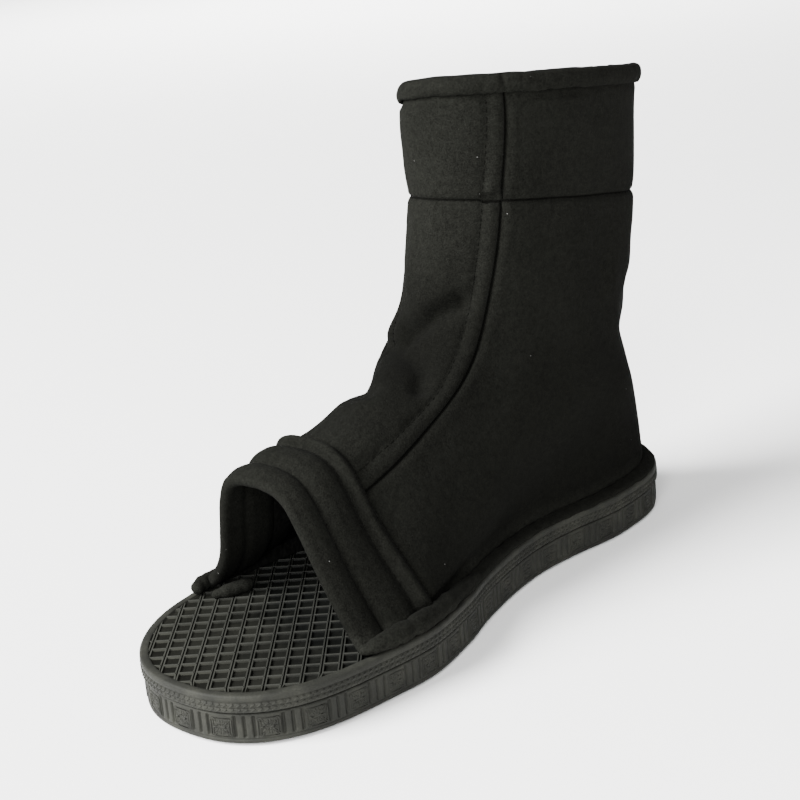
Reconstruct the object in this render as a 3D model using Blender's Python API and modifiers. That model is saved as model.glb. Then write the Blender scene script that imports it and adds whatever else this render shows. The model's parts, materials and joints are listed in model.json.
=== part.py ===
"""Open-toed ankle boot of black brushed cloth on a moulded sole, for the right foot.

Sizes are in millimetres in the tables and become metres when a mesh is made.
X runs from heel to toe, Y from the outer to the inner side of the foot, Z up from the floor.
Every wall is worked out from two functions: the outline of the sole and the surface of the upper.
"""
import math

import bmesh
import bpy
import numpy as np
from mathutils import Matrix

MM = 0.001
GAP = 0.3
TINY = 1e-9
SHARP = math.radians(35.0)
WALL_SHARP = math.radians(25.0)
# Points on half of the sole's outline, half of a ring and half of the toe opening's arch
OUTLINE_POINTS = 160
RING_POINTS = 70
ARCH_POINTS = 24

# Sole: driving sizes
SOLE_LENGTH = 290.0
LUG_DEPTH = 1.0
PARTING_Z = 13.2
FOOTBED_Z = 20.8
HEEL_ROUND = 0.15
TOE_ROUND = 0.21
END_POWER = 2.35
TOE_SPRING = 0.6
TOE_SPRING_FROM = 0.82
ARCH_RISE = 0.4
ARCH_MIDDLE = 0.40
ARCH_SPREAD = 0.07

# Outline of the sole: share of the length from the heel, centre line, half width
OUTLINE = (
    (0.00, 0.0, 29.7),
    (0.10, 0.2, 34.6),
    (0.20, 0.4, 36.2),
    (0.30, -3.0, 35.6),
    (0.38, -5.5, 36.5),
    (0.46, -6.2, 39.8),
    (0.54, -5.8, 44.6),
    (0.62, -4.3, 50.5),
    (0.72, -3.2, 54.6),
    (0.82, -3.1, 51.6),
    (1.00, 0.5, 47.8),
)
# Wall of the outsole: distance out from the outline, height (the first two follow the tread plane)
OUTSOLE_WALL = ((-0.8, LUG_DEPTH), (0.0, LUG_DEPTH + 0.8), (0.0, PARTING_Z))
# Edge of the footbed slab: distance out from the outline, height
MIDSOLE_EDGE = (
    (-0.8, PARTING_Z + GAP),
    (0.9, PARTING_Z + 1.0),
    (0.9, PARTING_Z + 3.6),
    (0.4, PARTING_Z + 5.6),
    (-0.8, FOOTBED_Z - 0.5),
    (-2.8, FOOTBED_Z),
)
MIDSOLE_POINTS = 84
# Upright grooves of the outsole wall, in groups of three
GROUP_PITCH = 18.0
GROOVE_PITCH = 3.6
GROOVE_HALF = 0.7
GROOVE_DEPTH = 0.7
# Tread bars: first share, last share, number of bars
TREAD = ((0.06, 0.31, 7), (0.52, 0.93, 11))
TREAD_WIDTH = 5.0
TREAD_INSET = 3.0
TREAD_ROOT = 1.0

# Upper: wall, and its surface as rings from the collar down to the instep
WALL = 2.5
SEAM_STEP = 0.8
SEAM_FOOT = 1.2
STITCH_GAP = 8.0
CUFF_PINCH = 1.3
SLIT_HALF = 5.0
# Ring: front x, front z, back x, back z, inner half width, outer half width, roundness, rise of
# the inner over the outer side, share of the seam and of the rib that runs to the toe opening's foot
RINGS = (
    (-15.0, 214.0, -143.5, 199.5, 41.5, 27.0, 2.10, 5.0, 0.215, 0.36),
    (-13.5, 204.0, -142.0, 190.0, 41.0, 27.5, 2.10, 4.0, 0.220, 0.36),
    (-13.0, 166.5, -139.0, 147.0, 39.5, 30.0, 2.10, 1.0, 0.200, 0.34),
    (-9.0, 134.0, -134.5, 118.0, 38.5, 33.5, 2.05, 0.0, 0.182, 0.31),
    (0.0, 109.0, -128.0, 87.5, 37.0, 35.0, 2.00, 0.0, 0.175, 0.29),
    (26.0, 97.5, -137.5, 58.5, 39.0, 36.0, 2.00, 0.0, 0.152, 0.27),
)
# Lines that end the upper: top of the arch (x, y, z), inner and outer foot as shares of the
# sole's length, height of the foot, distance in from the sole's outline, share of the seam
BAND_LINE = ((58.0, -3.0, 86.5), 0.685, 0.655, 29.0, 6.0, 0.105)
EDGE_LINE = ((89.0, -6.0, 78.5), 0.815, 0.775, FOOTBED_Z - 1.5, 4.5, 0.095)
EAR_FROM = 0.70
EAR_FLARE = 8.5
# Arch of the toe opening: share across from the top to the foot, share of the rise left
ARCH_INNER = (
    (0.00, 1.000),
    (0.15, 0.975),
    (0.28, 0.910),
    (0.42, 0.740),
    (0.56, 0.530),
    (0.70, 0.340),
    (0.87, 0.140),
    (1.00, 0.000),
)
ARCH_OUTER = (
    (0.00, 1.000),
    (0.18, 0.995),
    (0.33, 0.950),
    (0.44, 0.800),
    (0.53, 0.560),
    (0.62, 0.330),
    (0.78, 0.140),
    (1.00, 0.000),
)
# Rows of the grid in each stretch between two lines, as shares of the stretch
ROWS = (
    (0.0, 0.5),
    (0.0, 0.3, 0.62, 0.9),
    (0.0, 0.12, 0.55),
    (0.0, 0.34, 0.67),
    (0.0, 0.34, 0.67),
    (0.0, 0.25, 0.5, 0.75),
    (0.0, 0.25, 0.5, 0.75, 1.0),
)
HEM_ROW = 2
CUFF_ROW = 6
SLIT_ROW = 15
BAND_ROW = 19
# Columns of half the grid between the front centre, stitch line, seam, toe foot, slit and back centre
FRONT_COLUMNS = 3
SEAM_COLUMNS = 2
VAMP_COLUMNS = 5
REAR_COLUMNS = 13

# Toe band: share of the band from its rear edge to the opening, height over the upper
BAND_RIBS = (
    (0.00, 0.7),
    (0.03, 2.2),
    (0.12, 3.2),
    (0.21, 2.4),
    (0.25, 0.9),
    (0.30, 2.0),
    (0.50, 2.4),
    (0.65, 2.0),
    (0.70, 0.9),
    (0.75, 1.9),
    (0.94, 1.9),
    (1.00, 1.0),
)
# Base roll: share of its height from the top, how far it stands out
ROLL_PROFILE = ((0.0, 0.5), (0.25, 1.9), (0.5, 2.3), (0.75, 1.8), (1.0, 0.5))
# Shares of a column by which the band and the roll stop short of each other
BAND_END = 0.06
ROLL_END = 0.10
# Collar binding: distance out from the wall's outer face, height over its top edge
BINDING_PROFILE = (
    (GAP, -9.5),
    (2.0, -9.0),
    (2.7, -5.0),
    (2.0, -0.6),
    (0.2, 1.8),
    (-2.7, 1.8),
    (-4.5, -0.6),
    (-4.6, -8.5),
    (-WALL - GAP, -9.0),
    (-WALL - GAP, GAP),
    (GAP, GAP),
)

# Back zip; the slider and the pull are given as thickness, width, height
TAPE_WALL = 0.8
TAPE_LAP = 4.0
CHAIN_HALF = 2.4
CHAIN_WALL = 1.6
SLIDER = (3.2, 8.4, 11.0)
SLIDER_DROP = 1.0
BAIL_HALF = 2.7
BAIL_POST = 1.2
BAIL_STAND_OFF = 2.6
BAIL_END = 0.9
BAIL_ROOT = 1.0
BAR_RADIUS = 0.8
EYE_RADIUS = 2.2
EYE_BORE = 1.15
TAB_FROM = 1.75
PULL = (1.4, 6.5, 21.0)

# Centre of the whole boot's box in the sole's own coordinates
BOX_CENTRE = (-1.89, -4.15)


def slopes(t, y):
    """Slopes of a curve that keeps to the rows of its table without overshoot."""
    step = np.diff(t)[:, None]
    rise = np.diff(y, axis=0) / step
    m = np.zeros_like(y)
    m[0] = rise[0]
    m[-1] = rise[-1]
    before, after = rise[:-1], rise[1:]
    w1 = 2 * step[1:] + step[:-1]
    w2 = step[1:] + 2 * step[:-1]
    same = before * after > 0
    b = np.where(same, before, 1.0)
    a = np.where(same, after, 1.0)
    m[1:-1] = np.where(same, (w1 + w2) / (w1 / b + w2 / a), 0.0)
    return m


def curve(t, y, at):
    """Smooth values of table y, given at t, read at new places."""
    t = np.asarray(t, float)
    y = np.asarray(y, float)
    at = np.asarray(at, float)
    m = slopes(t, y)
    i = np.clip(np.searchsorted(t, at) - 1, 0, len(t) - 2)
    h = (t[i + 1] - t[i])[:, None]
    s = (at - t[i])[:, None] / h
    start = (1 + 2 * s) * (1 - s) ** 2 * y[i] + s * (1 - s) ** 2 * h * m[i]
    end = s * s * (3 - 2 * s) * y[i + 1] + s * s * (s - 1) * h * m[i + 1]
    return start + end


def run_length(points):
    """Distance along a polyline at each of its points."""
    return np.concatenate([[0.0], np.cumsum(np.linalg.norm(np.diff(points, axis=0), axis=1))])


def resample(points, shares):
    """Points of a polyline at the given shares of its length."""
    run = run_length(points)
    at = np.asarray(shares) * run[-1]
    return np.stack([np.interp(at, run, points[:, k]) for k in range(points.shape[1])], axis=1)


def unit(v):
    return v / (np.linalg.norm(v, axis=-1, keepdims=True) + TINY)


def outline_half(side):
    """Half of the sole's outline from toe to heel; side is 1 for the inner, -1 for the outer side."""
    share = (1 + np.cos(np.linspace(0, math.pi, OUTLINE_POINTS))) / 2
    table = np.array(OUTLINE)
    line = curve(table[:, 0], table[:, 1:], share)
    heel = np.clip(1 - share / HEEL_ROUND, 0, 1)
    toe = np.clip(1 - (1 - share) / TOE_ROUND, 0, 1)
    end = (1 - heel ** END_POWER) ** (1 / END_POWER) * (1 - toe ** END_POWER) ** (1 / END_POWER)
    return np.stack([(share - 0.5) * SOLE_LENGTH, line[:, 0] + side * line[:, 1] * end], axis=1)


def outline():
    """The sole's closed outline: toe, inner side, heel, outer side."""
    return np.concatenate([outline_half(1), outline_half(-1)[::-1][1:-1]])


def moved_out(loop, distance):
    """A closed outline moved out by a distance, one for all points or one for each."""
    ahead = unit(np.roll(loop, -1, axis=0) - np.roll(loop, 1, axis=0))
    out = np.stack([ahead[:, 1], -ahead[:, 0]], axis=1)
    return loop + out * np.reshape(distance, (-1, 1))


def share_of(x):
    return x / SOLE_LENGTH + 0.5


def tread_lift(share):
    """Toe spring and arch: how far the tread plane rises above the floor."""
    toe = np.clip((share - TOE_SPRING_FROM) / (1 - TOE_SPRING_FROM), 0, 1)
    arch = np.exp(-((share - ARCH_MIDDLE) / ARCH_SPREAD) ** 2)
    return TOE_SPRING * toe ** 2 + ARCH_RISE * arch


def ring_half(ring, side):
    """Half of one tilted, rounded section of the shaft, from front centre to back centre."""
    front_x, front_z, back_x, back_z, inner, outer, power, lean = ring[:8]
    t = np.linspace(0, math.pi, RING_POINTS)
    u = np.sign(np.cos(t)) * np.abs(np.cos(t)) ** (2 / power)
    v = np.abs(np.sin(t)) ** (2 / power)
    x = (front_x + back_x) / 2 + (front_x - back_x) / 2 * u
    z = (front_z + back_z) / 2 + (front_z - back_z) / 2 * u + side * lean / 2 * v
    return np.stack([x, side * (inner if side > 0 else outer) * v, z], axis=1)


def end_line_half(line, side):
    """Half of a line over the toe arch and along the sole to the heel, and the arch's share of it."""
    top, inner_share, outer_share, foot_z, inset, _ = line
    loop = outline()
    ear = np.clip((share_of(loop[:, 0]) - EAR_FROM) / (outer_share - EAR_FROM + TINY), 0, 1)
    flare = EAR_FLARE * ear ** 2 * (loop[:, 1] < 0) * (outer_share > EAR_FROM)
    loop = moved_out(loop, flare - inset)
    middle = len(loop) // 2
    half = loop[:middle + 1] if side > 0 else np.concatenate([loop[:1], loop[:middle - 1:-1]])
    foot_x = ((inner_share if side > 0 else outer_share) - 0.5) * SOLE_LENGTH
    foot_y = np.interp(-foot_x, -half[:, 0], half[:, 1])
    table = np.array(ARCH_INNER if side > 0 else ARCH_OUTER, float)
    run = run_length(table)
    across, rise = curve(run, table, np.linspace(0, run[-1], ARCH_POINTS)).T
    arch = np.stack([
        foot_x + (top[0] - foot_x) * rise,
        top[1] + (foot_y - top[1]) * across,
        foot_z + (top[2] - foot_z) * rise,
    ], axis=1)
    rear = half[half[:, 0] < foot_x - GAP]
    rear = np.column_stack([rear, np.full(len(rear), foot_z)])
    whole = np.concatenate([arch, rear])
    return whole, run_length(arch)[-1] / run_length(whole)[-1]


def column_shares(length, seam, foot):
    """Shares of one half line where the grid's columns cross it."""
    stitch = seam - STITCH_GAP / length
    seam_foot = seam + SEAM_FOOT / length
    slit = 1 - SLIT_HALF / length
    return np.concatenate([
        np.linspace(0, stitch, FRONT_COLUMNS, endpoint=False),
        np.linspace(stitch, seam, SEAM_COLUMNS + 1),
        np.linspace(seam_foot, foot, VAMP_COLUMNS, endpoint=False),
        np.linspace(foot, slit, REAR_COLUMNS + 1),
        [1.0],
    ])


SEAM_COLUMN = FRONT_COLUMNS + SEAM_COLUMNS
FOOT_COLUMN = SEAM_COLUMN + 1 + VAMP_COLUMNS
SLIT_COLUMN = FOOT_COLUMN + REAR_COLUMNS
BACK_COLUMN = SLIT_COLUMN + 1


def half_grid(side):
    """Half of the upper's surface: columns from front to back, rows from collar to sole."""
    lines = []
    for ring in RINGS:
        line = ring_half(ring, side)
        lines.append(resample(line, column_shares(run_length(line)[-1], ring[8], ring[9])))
    for end in (BAND_LINE, EDGE_LINE):
        line, foot = end_line_half(end, side)
        lines.append(resample(line, column_shares(run_length(line)[-1], end[5], foot)))
    lines = np.array(lines)
    columns = []
    for c in range(lines.shape[1]):
        run = run_length(lines[:, c])
        at = [run[i] + f * (run[i + 1] - run[i]) for i, shares in enumerate(ROWS) for f in shares]
        columns.append(curve(run, lines[:, c], at))
    return np.array(columns)


def open_wall(grid):
    """The upper's outer surface as faces between its columns, with the zip's slit left open."""
    bm = bmesh.new()
    verts = [[bm.verts.new(p) for p in column] for column in grid]
    count = len(verts)
    for c in range(count):
        n = (c + 1) % count
        for r in range(len(verts[c]) - 1):
            if c in (SLIT_COLUMN, BACK_COLUMN) and r < SLIT_ROW:
                continue
            bm.faces.new((verts[c][r], verts[c][r + 1], verts[n][r + 1], verts[n][r]))
    return bm


def surface_normals(grid):
    """Outward normals of a closed grid of columns."""
    around = np.roll(grid, -1, axis=0) - np.roll(grid, 1, axis=0)
    down = np.gradient(grid, axis=1)
    return unit(np.cross(down, around))


def upper_surface():
    """The upper's outer surface, all columns round, with its seam steps and cuff pinch, and normals."""
    grid = np.concatenate([half_grid(1), half_grid(-1)[::-1][1:-1]])
    normal = surface_normals(grid)
    raised = np.zeros(grid.shape[:2])
    for c in (SEAM_COLUMN, -SEAM_COLUMN):
        step = -1 if c > 0 else 1
        raised[c] += SEAM_STEP
        raised[c + step] += SEAM_STEP / 2
    raised[:, :HEM_ROW + 1] = 0
    raised[:, BAND_ROW:] = 0
    raised[:, CUFF_ROW] -= CUFF_PINCH
    grid = grid + normal * raised[:, :, None]
    bm = open_wall(grid)
    bm.normal_update()
    lean = np.array([v.normal for v in bm.verts]).reshape(grid.shape)
    used = np.array([bool(v.link_faces) for v in bm.verts]).reshape(raised.shape)
    bm.free()
    return grid, np.where(used[:, :, None], lean, normal)


def to_mesh(name, bm, sharp=SHARP, solid=True):
    """A bmesh in millimetres as a mesh in metres, shaded smooth with sharp edges kept."""
    if solid:
        bmesh.ops.recalc_face_normals(bm, faces=bm.faces)
    bmesh.ops.scale(bm, vec=(MM, MM, MM), verts=bm.verts)
    mesh = bpy.data.meshes.new(name)
    bm.to_mesh(mesh)
    bm.free()
    mesh.shade_smooth()
    mesh.set_sharp_from_angle(angle=sharp)
    return mesh


def loft(loops):
    """A solid through loops of equally many points, with a cap at each end."""
    bm = bmesh.new()
    rows = [[bm.verts.new(p) for p in loop] for loop in loops]
    for a, b in zip(rows, rows[1:]):
        for i in range(len(a)):
            j = (i + 1) % len(a)
            bm.faces.new((a[i], a[j], b[j], b[i]))
    caps = [bm.faces.new(rows[0][::-1]), bm.faces.new(rows[-1])]
    bm.normal_update()
    bmesh.ops.triangulate(bm, faces=caps)
    return bm


def material(name, colour, roughness, metallic=0.0):
    mat = bpy.data.materials.new(name)
    mat.use_nodes = True
    shader = mat.node_tree.nodes["Principled BSDF"]
    shader.inputs["Base Color"].default_value = (*colour, 1.0)
    shader.inputs["Roughness"].default_value = roughness
    shader.inputs["Metallic"].default_value = metallic
    mat.diffuse_color = (*colour, 1.0)
    return mat


def add_object(name, mesh, mat, collection, root, place=(0.0, 0.0, 0.0)):
    obj = bpy.data.objects.new(name, mesh)
    if mat is not None:
        mesh.materials.append(mat)
    obj.location = [v * MM for v in place]
    obj.parent = root
    collection.objects.link(obj)
    return obj


def add_boolean(obj, cutter, operation):
    mod = obj.modifiers.new(operation.title(), "BOOLEAN")
    mod.operation = operation
    mod.solver = "EXACT"
    mod.object = cutter
    cutter.hide_render = True
    cutter.display_type = "WIRE"


def groove_stops(length):
    """Places along the outsole's wall, and the groove's depth at each."""
    groups = round(length / GROUP_PITCH)
    stops = []
    for g in range(groups):
        for k in (-1, 0, 1):
            centre = (g + 0.5) * length / groups + k * GROOVE_PITCH
            stops += [(centre - GROOVE_HALF, 0.0), (centre, GROOVE_DEPTH), (centre + GROOVE_HALF, 0.0)]
    return np.array(stops)


def outsole_mesh():
    """Wall with its upright grooves, tread plane with arch and toe spring."""
    loop = outline()
    closed = np.concatenate([loop, loop[:1]])
    length = run_length(closed)[-1]
    stops = groove_stops(length)
    line = resample(closed, stops[:, 0] / length)
    lift = tread_lift(share_of(line[:, 0]))
    rows = []
    for k, (out, z) in enumerate(OUTSOLE_WALL):
        edge = moved_out(line, out - stops[:, 1] * (k > 0))
        rows.append(np.column_stack([edge, z + lift * (k < 2)]))
    return to_mesh("outsole", loft(rows), sharp=WALL_SHARP)


def tread_mesh():
    """Tread bars across heel and forefoot, each a box that runs up into the outsole."""
    inner = moved_out(outline(), -TREAD_INSET)
    middle = len(inner) // 2
    sides = [inner[:middle + 1][::-1], inner[middle:]]
    bm = bmesh.new()
    for first, last, count in TREAD:
        for share in np.linspace(first, last, count):
            x = (share - 0.5) * SOLE_LENGTH
            ends = [np.interp((x - TREAD_WIDTH / 2, x + TREAD_WIDTH / 2), s[:, 0], s[:, 1]) for s in sides]
            high = min(ends[0])
            low = max(ends[1])
            floor = float(tread_lift(share)) * (share > TOE_SPRING_FROM)
            bar = bmesh.ops.create_cube(bm, size=1.0)["verts"]
            bmesh.ops.scale(bm, vec=(TREAD_WIDTH, high - low, LUG_DEPTH + TREAD_ROOT), verts=bar)
            centre = (x, (high + low) / 2, floor + (LUG_DEPTH + TREAD_ROOT) / 2)
            bmesh.ops.translate(bm, vec=centre, verts=bar)
    return to_mesh("tread_bars", bm)


def midsole_mesh():
    """Footbed slab: flat top and underside, rounded edge that stands out over the outsole."""
    loop = outline()
    line = resample(np.concatenate([loop, loop[:1]]), np.arange(MIDSOLE_POINTS) / MIDSOLE_POINTS)
    rows = [np.column_stack([moved_out(line, out), np.full(len(line), z)]) for out, z in MIDSOLE_EDGE]
    return to_mesh("midsole", loft(rows))


def upper_mesh(grid):
    """The upper as an open surface; a Solidify gives it its wall."""
    bm = open_wall(grid)
    loose = [v for v in bm.verts if not v.link_faces]
    bmesh.ops.delete(bm, geom=loose, context="VERTS")
    return to_mesh("upper", bm, solid=False)


def on_rows(column, shares):
    """Points part of the way down a grid column's rows, straight between rows."""
    at = np.asarray(shares) * (len(column) - 1)
    i = np.clip(at.astype(int), 0, len(column) - 2)
    f = (at - i)[:, None]
    return column[i] * (1 - f) + column[i + 1] * f


def overlay_loop(points, normals, shares, out):
    """Cross-section of an overlay: along the wall a gap away, and back over its own outer face."""
    base = on_rows(points, shares)
    lean = unit(on_rows(normals, shares))
    low = base + lean * GAP
    high = base + lean * (GAP + np.asarray(out)[:, None])
    return np.concatenate([low, high[::-1]])


def between(a, b, share):
    return a * (1 - share) + b * share


def toe_band_mesh(grid, normal):
    """Ribbed band over the front of the upper, from foot to foot over the arch."""
    shares, out = np.array(BAND_RIBS).T
    columns = list(range(-FOOT_COLUMN, FOOT_COLUMN + 1))
    loops = []
    for c in columns:
        points, lean = grid[c, BAND_ROW:], normal[c, BAND_ROW:]
        if abs(c) == FOOT_COLUMN:
            inside = c - 1 if c > 0 else c + 1
            points = between(points, grid[inside, BAND_ROW:], BAND_END)
            lean = between(lean, normal[inside, BAND_ROW:], BAND_END)
        loops.append(overlay_loop(points, lean, shares, out))
    return to_mesh("toe_band", loft(loops))


def base_roll_mesh(grid, normal):
    """Cloth roll along the foot of the upper, from the toe opening's inner foot round the heel."""
    shares, out = np.array(ROLL_PROFILE).T
    last = len(grid) - FOOT_COLUMN
    loops = []
    for c in range(FOOT_COLUMN, last + 1):
        points, lean = grid[c, BAND_ROW:], normal[c, BAND_ROW:]
        if c in (FOOT_COLUMN, last):
            inside = c + 1 if c == FOOT_COLUMN else c - 1
            points = between(points, grid[inside, BAND_ROW:], ROLL_END)
            lean = between(lean, normal[inside, BAND_ROW:], ROLL_END)
        loops.append(overlay_loop(points, lean, shares, out))
    return to_mesh("base_roll", loft(loops))


def collar_binding_mesh(grid, normal):
    """Rolled hem that straddles the collar's edge, from one side of the slit round to the other."""
    loops = []
    for c in range(-SLIT_COLUMN, SLIT_COLUMN + 1):
        top = grid[c, 0]
        up = unit(top - grid[c, HEM_ROW])
        loops.append([top + normal[c, 0] * out + up * rise for out, rise in BINDING_PROFILE])
    return to_mesh("collar_binding", loft(loops))


def back_strip(grid, normal, half, first, last, depth, wall):
    """A strip down the back: half width from the centre, rows, depth under the outer face, wall."""
    slit_in, slit_out = grid[SLIT_COLUMN], grid[BACK_COLUMN + 1]
    if half > SLIT_HALF:
        sides = ((SLIT_COLUMN, SLIT_COLUMN - 1), (BACK_COLUMN + 1, BACK_COLUMN + 2))
        edges = []
        for near, far in sides:
            width = np.linalg.norm(grid[far] - grid[near], axis=1)
            edges.append(grid[near] + (grid[far] - grid[near]) * ((half - SLIT_HALF) / width)[:, None])
        lines = [edges[0], slit_in, grid[BACK_COLUMN], slit_out, edges[1]]
        middle = normal[SLIT_COLUMN:BACK_COLUMN + 2]
        leans = [middle[0], *middle, middle[-1]]
    else:
        share = half / SLIT_HALF
        centre = grid[BACK_COLUMN]
        lines = [between(centre, slit_in, share), centre, between(centre, slit_out, share)]
        leans = [normal[BACK_COLUMN]] * 3
    loops = []
    for r in range(first, last + 1):
        front = [p[r] - n[r] * depth for p, n in zip(lines, leans)]
        back = [p[r] - n[r] * (depth + wall) for p, n in zip(lines, leans)]
        loops.append(front + back[::-1])
    return loft(loops)


def box(size, centre):
    bm = bmesh.new()
    bmesh.ops.create_cube(bm, size=1.0)
    bmesh.ops.scale(bm, vec=size, verts=bm.verts)
    bmesh.ops.translate(bm, vec=centre, verts=bm.verts)
    return bm


def rod(radius, length, centre, sides=16):
    """A rod along Y."""
    bm = bmesh.new()
    bmesh.ops.create_cone(bm, cap_ends=True, segments=sides, radius1=radius, radius2=radius, depth=length)
    bmesh.ops.rotate(bm, matrix=Matrix.Rotation(math.pi / 2, 3, "X"), verts=bm.verts)
    bmesh.ops.translate(bm, vec=centre, verts=bm.verts)
    return bm


def add_slider(grid, parts, cutters, root, metal):
    """Slider on the chain just under the binding, with two posts and the bar that holds the pull."""
    seat = grid[BACK_COLUMN, HEM_ROW]
    thick, _, tall = SLIDER
    face = WALL - CHAIN_WALL - GAP
    middle_x = seat[0] + face - GAP - thick / 2
    middle_z = seat[2] - tall / 2 - SLIDER_DROP
    block = to_mesh("zip_slider", box(SLIDER, (0, 0, 0)))
    body = add_object("zip_slider", block, metal, parts, root, (middle_x, 0.0, middle_z))
    bar_x = -thick / 2 - BAIL_STAND_OFF
    for k, side in enumerate((-1, 1)):
        size = (BAIL_STAND_OFF + BAIL_END + BAIL_ROOT, BAIL_POST, 2 * BAIL_END)
        centre = (bar_x - BAIL_END + size[0] / 2, side * BAIL_HALF, 0.0)
        post = to_mesh("bail_post", box(size, centre))
        add_boolean(body, add_object(f"bail_post_{k}", post, None, cutters, body), "UNION")
    bar = to_mesh("bail_bar", rod(BAR_RADIUS, 2 * BAIL_HALF, (bar_x, 0, 0)))
    add_boolean(body, add_object("bail_bar", bar, None, cutters, body), "UNION")
    return (middle_x + bar_x, 0.0, middle_z)


def add_pull(axis, parts, cutters, root, metal):
    """Pull tab with its eye round the bar; its origin lies on the bar's axis."""
    tall = PULL[2]
    eye_width = 2 * BAIL_HALF - BAIL_POST - 2 * GAP
    tab = to_mesh("zip_pull", box(PULL, (0, 0, -tall / 2 - TAB_FROM)))
    pull = add_object("zip_pull", tab, metal, parts, root, axis)
    eye = to_mesh("pull_eye", rod(EYE_RADIUS, eye_width, (0, 0, 0)))
    add_boolean(pull, add_object("pull_eye", eye, None, cutters, pull), "UNION")
    bore = to_mesh("pull_bore", rod(EYE_BORE, PULL[1] * 2, (0, 0, 0)))
    add_boolean(pull, add_object("pull_bore", bore, None, cutters, pull), "DIFFERENCE")


def new_collection(name):
    collection = bpy.data.collections.new(name)
    bpy.context.scene.collection.children.link(collection)
    return collection


def main():
    for obj in list(bpy.data.objects):
        bpy.data.objects.remove(obj, do_unlink=True)
    parts = new_collection("ninja_boot")
    cutters = new_collection("ninja_boot_cutters")
    root = bpy.data.objects.new("boot_origin", None)
    root.location = (-BOX_CENTRE[0] * MM, -BOX_CENTRE[1] * MM, 0.0)
    parts.objects.link(root)

    rubber = material("sole_rubber", (0.060, 0.060, 0.050), 0.55)
    footbed = material("footbed_foam", (0.070, 0.070, 0.060), 0.45)
    cloth = material("brushed_cloth", (0.010, 0.010, 0.010), 0.95)
    tape = material("zip_tape_cloth", (0.012, 0.012, 0.012), 0.85)
    metal = material("zip_metal", (0.05, 0.05, 0.05), 0.40, 0.9)

    outsole = add_object("outsole", outsole_mesh(), rubber, parts, root)
    add_boolean(outsole, add_object("tread_bars", tread_mesh(), None, cutters, root), "UNION")
    add_object("midsole", midsole_mesh(), footbed, parts, root)

    grid, normal = upper_surface()
    upper = add_object("upper", upper_mesh(grid), cloth, parts, root)
    wall = upper.modifiers.new("Wall", "SOLIDIFY")
    wall.thickness = WALL * MM
    wall.offset = -1.0
    band = add_object("toe_band", toe_band_mesh(grid, normal), cloth, parts, root)
    roll = add_object("base_roll", base_roll_mesh(grid, normal), cloth, parts, root)
    seat_top = FOOTBED_Z + GAP
    seat = to_mesh("seat_cutter", box((SOLE_LENGTH, SOLE_LENGTH, seat_top), (0, 0, seat_top / 2)))
    seat_cutter = add_object("seat_cutter", seat, None, cutters, root)
    for piece in (upper, band, roll):
        add_boolean(piece, seat_cutter, "DIFFERENCE")
    add_object("collar_binding", collar_binding_mesh(grid, normal), cloth, parts, root)

    depth = WALL + GAP
    strip = back_strip(grid, normal, SLIT_HALF + TAPE_LAP, HEM_ROW, SLIT_ROW, depth, TAPE_WALL)
    add_object("zip_tape", to_mesh("zip_tape", strip), tape, parts, root)
    chain = back_strip(grid, normal, CHAIN_HALF, HEM_ROW, SLIT_ROW - 1, WALL - CHAIN_WALL, CHAIN_WALL)
    add_object("zip_chain", to_mesh("zip_chain", chain), metal, parts, root)
    axis = add_slider(grid, parts, cutters, root, metal)
    add_pull(axis, parts, cutters, root, metal)


main()
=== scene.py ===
"""Looks of an open-toed ankle boot of black brushed cloth, dressed around its solids.

Tables hold millimetres in the boot's own axes: X from heel to toe, Y to the inner side, Z up.
Objects are in metres. The cloth is one surface, a function of a column round the leg and a row
down from the collar, and every hem, band, seam and stitch is worked out from it.
"""
import json
import math

import bmesh
import bpy
import numpy as np
from bpy.props import FloatProperty, FloatVectorProperty, IntProperty, PointerProperty
from mathutils import Matrix, Vector

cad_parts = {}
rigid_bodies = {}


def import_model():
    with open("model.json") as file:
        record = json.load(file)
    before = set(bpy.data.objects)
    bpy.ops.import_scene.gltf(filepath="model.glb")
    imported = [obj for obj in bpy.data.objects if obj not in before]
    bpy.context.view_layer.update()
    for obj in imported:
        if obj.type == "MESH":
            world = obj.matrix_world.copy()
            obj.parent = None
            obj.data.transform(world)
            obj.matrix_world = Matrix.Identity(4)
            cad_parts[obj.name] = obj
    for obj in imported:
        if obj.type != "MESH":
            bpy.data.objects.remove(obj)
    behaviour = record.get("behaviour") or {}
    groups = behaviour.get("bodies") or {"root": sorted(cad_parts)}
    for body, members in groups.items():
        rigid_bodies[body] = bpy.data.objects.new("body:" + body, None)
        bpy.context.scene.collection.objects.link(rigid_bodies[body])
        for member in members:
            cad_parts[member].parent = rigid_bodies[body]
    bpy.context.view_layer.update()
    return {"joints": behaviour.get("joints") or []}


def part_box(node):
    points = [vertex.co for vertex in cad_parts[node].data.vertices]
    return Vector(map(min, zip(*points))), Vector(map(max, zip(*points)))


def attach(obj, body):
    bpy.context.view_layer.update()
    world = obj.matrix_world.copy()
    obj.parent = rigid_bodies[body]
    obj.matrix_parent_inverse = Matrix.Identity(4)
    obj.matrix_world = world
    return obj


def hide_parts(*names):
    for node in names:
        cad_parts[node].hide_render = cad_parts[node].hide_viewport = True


bl_info = {
    "name": "Ninja boot dresser",
    "version": (1, 0, 0),
    "blender": (4, 5, 0),
    "location": "View3D > Sidebar > Boot",
    "description": "Dresses the solids of an open-toed ankle boot in cloth, rubber and a zip",
    "category": "Object",
}

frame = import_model()

MM = 0.001
GAP = 0.3
TINY = 1e-9
ORDER_DIGITS = 8
TURN = 2 * math.pi


def middle(node):
    """Centre of a solid's box, in millimetres."""
    low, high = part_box(node)
    return (low + high) / 2 / MM


# The boot's own axes start at the sole's middle, on the line of the zip
SHIFT = np.array([middle("midsole").x, middle("zip_slider").y, 0.0])

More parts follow.
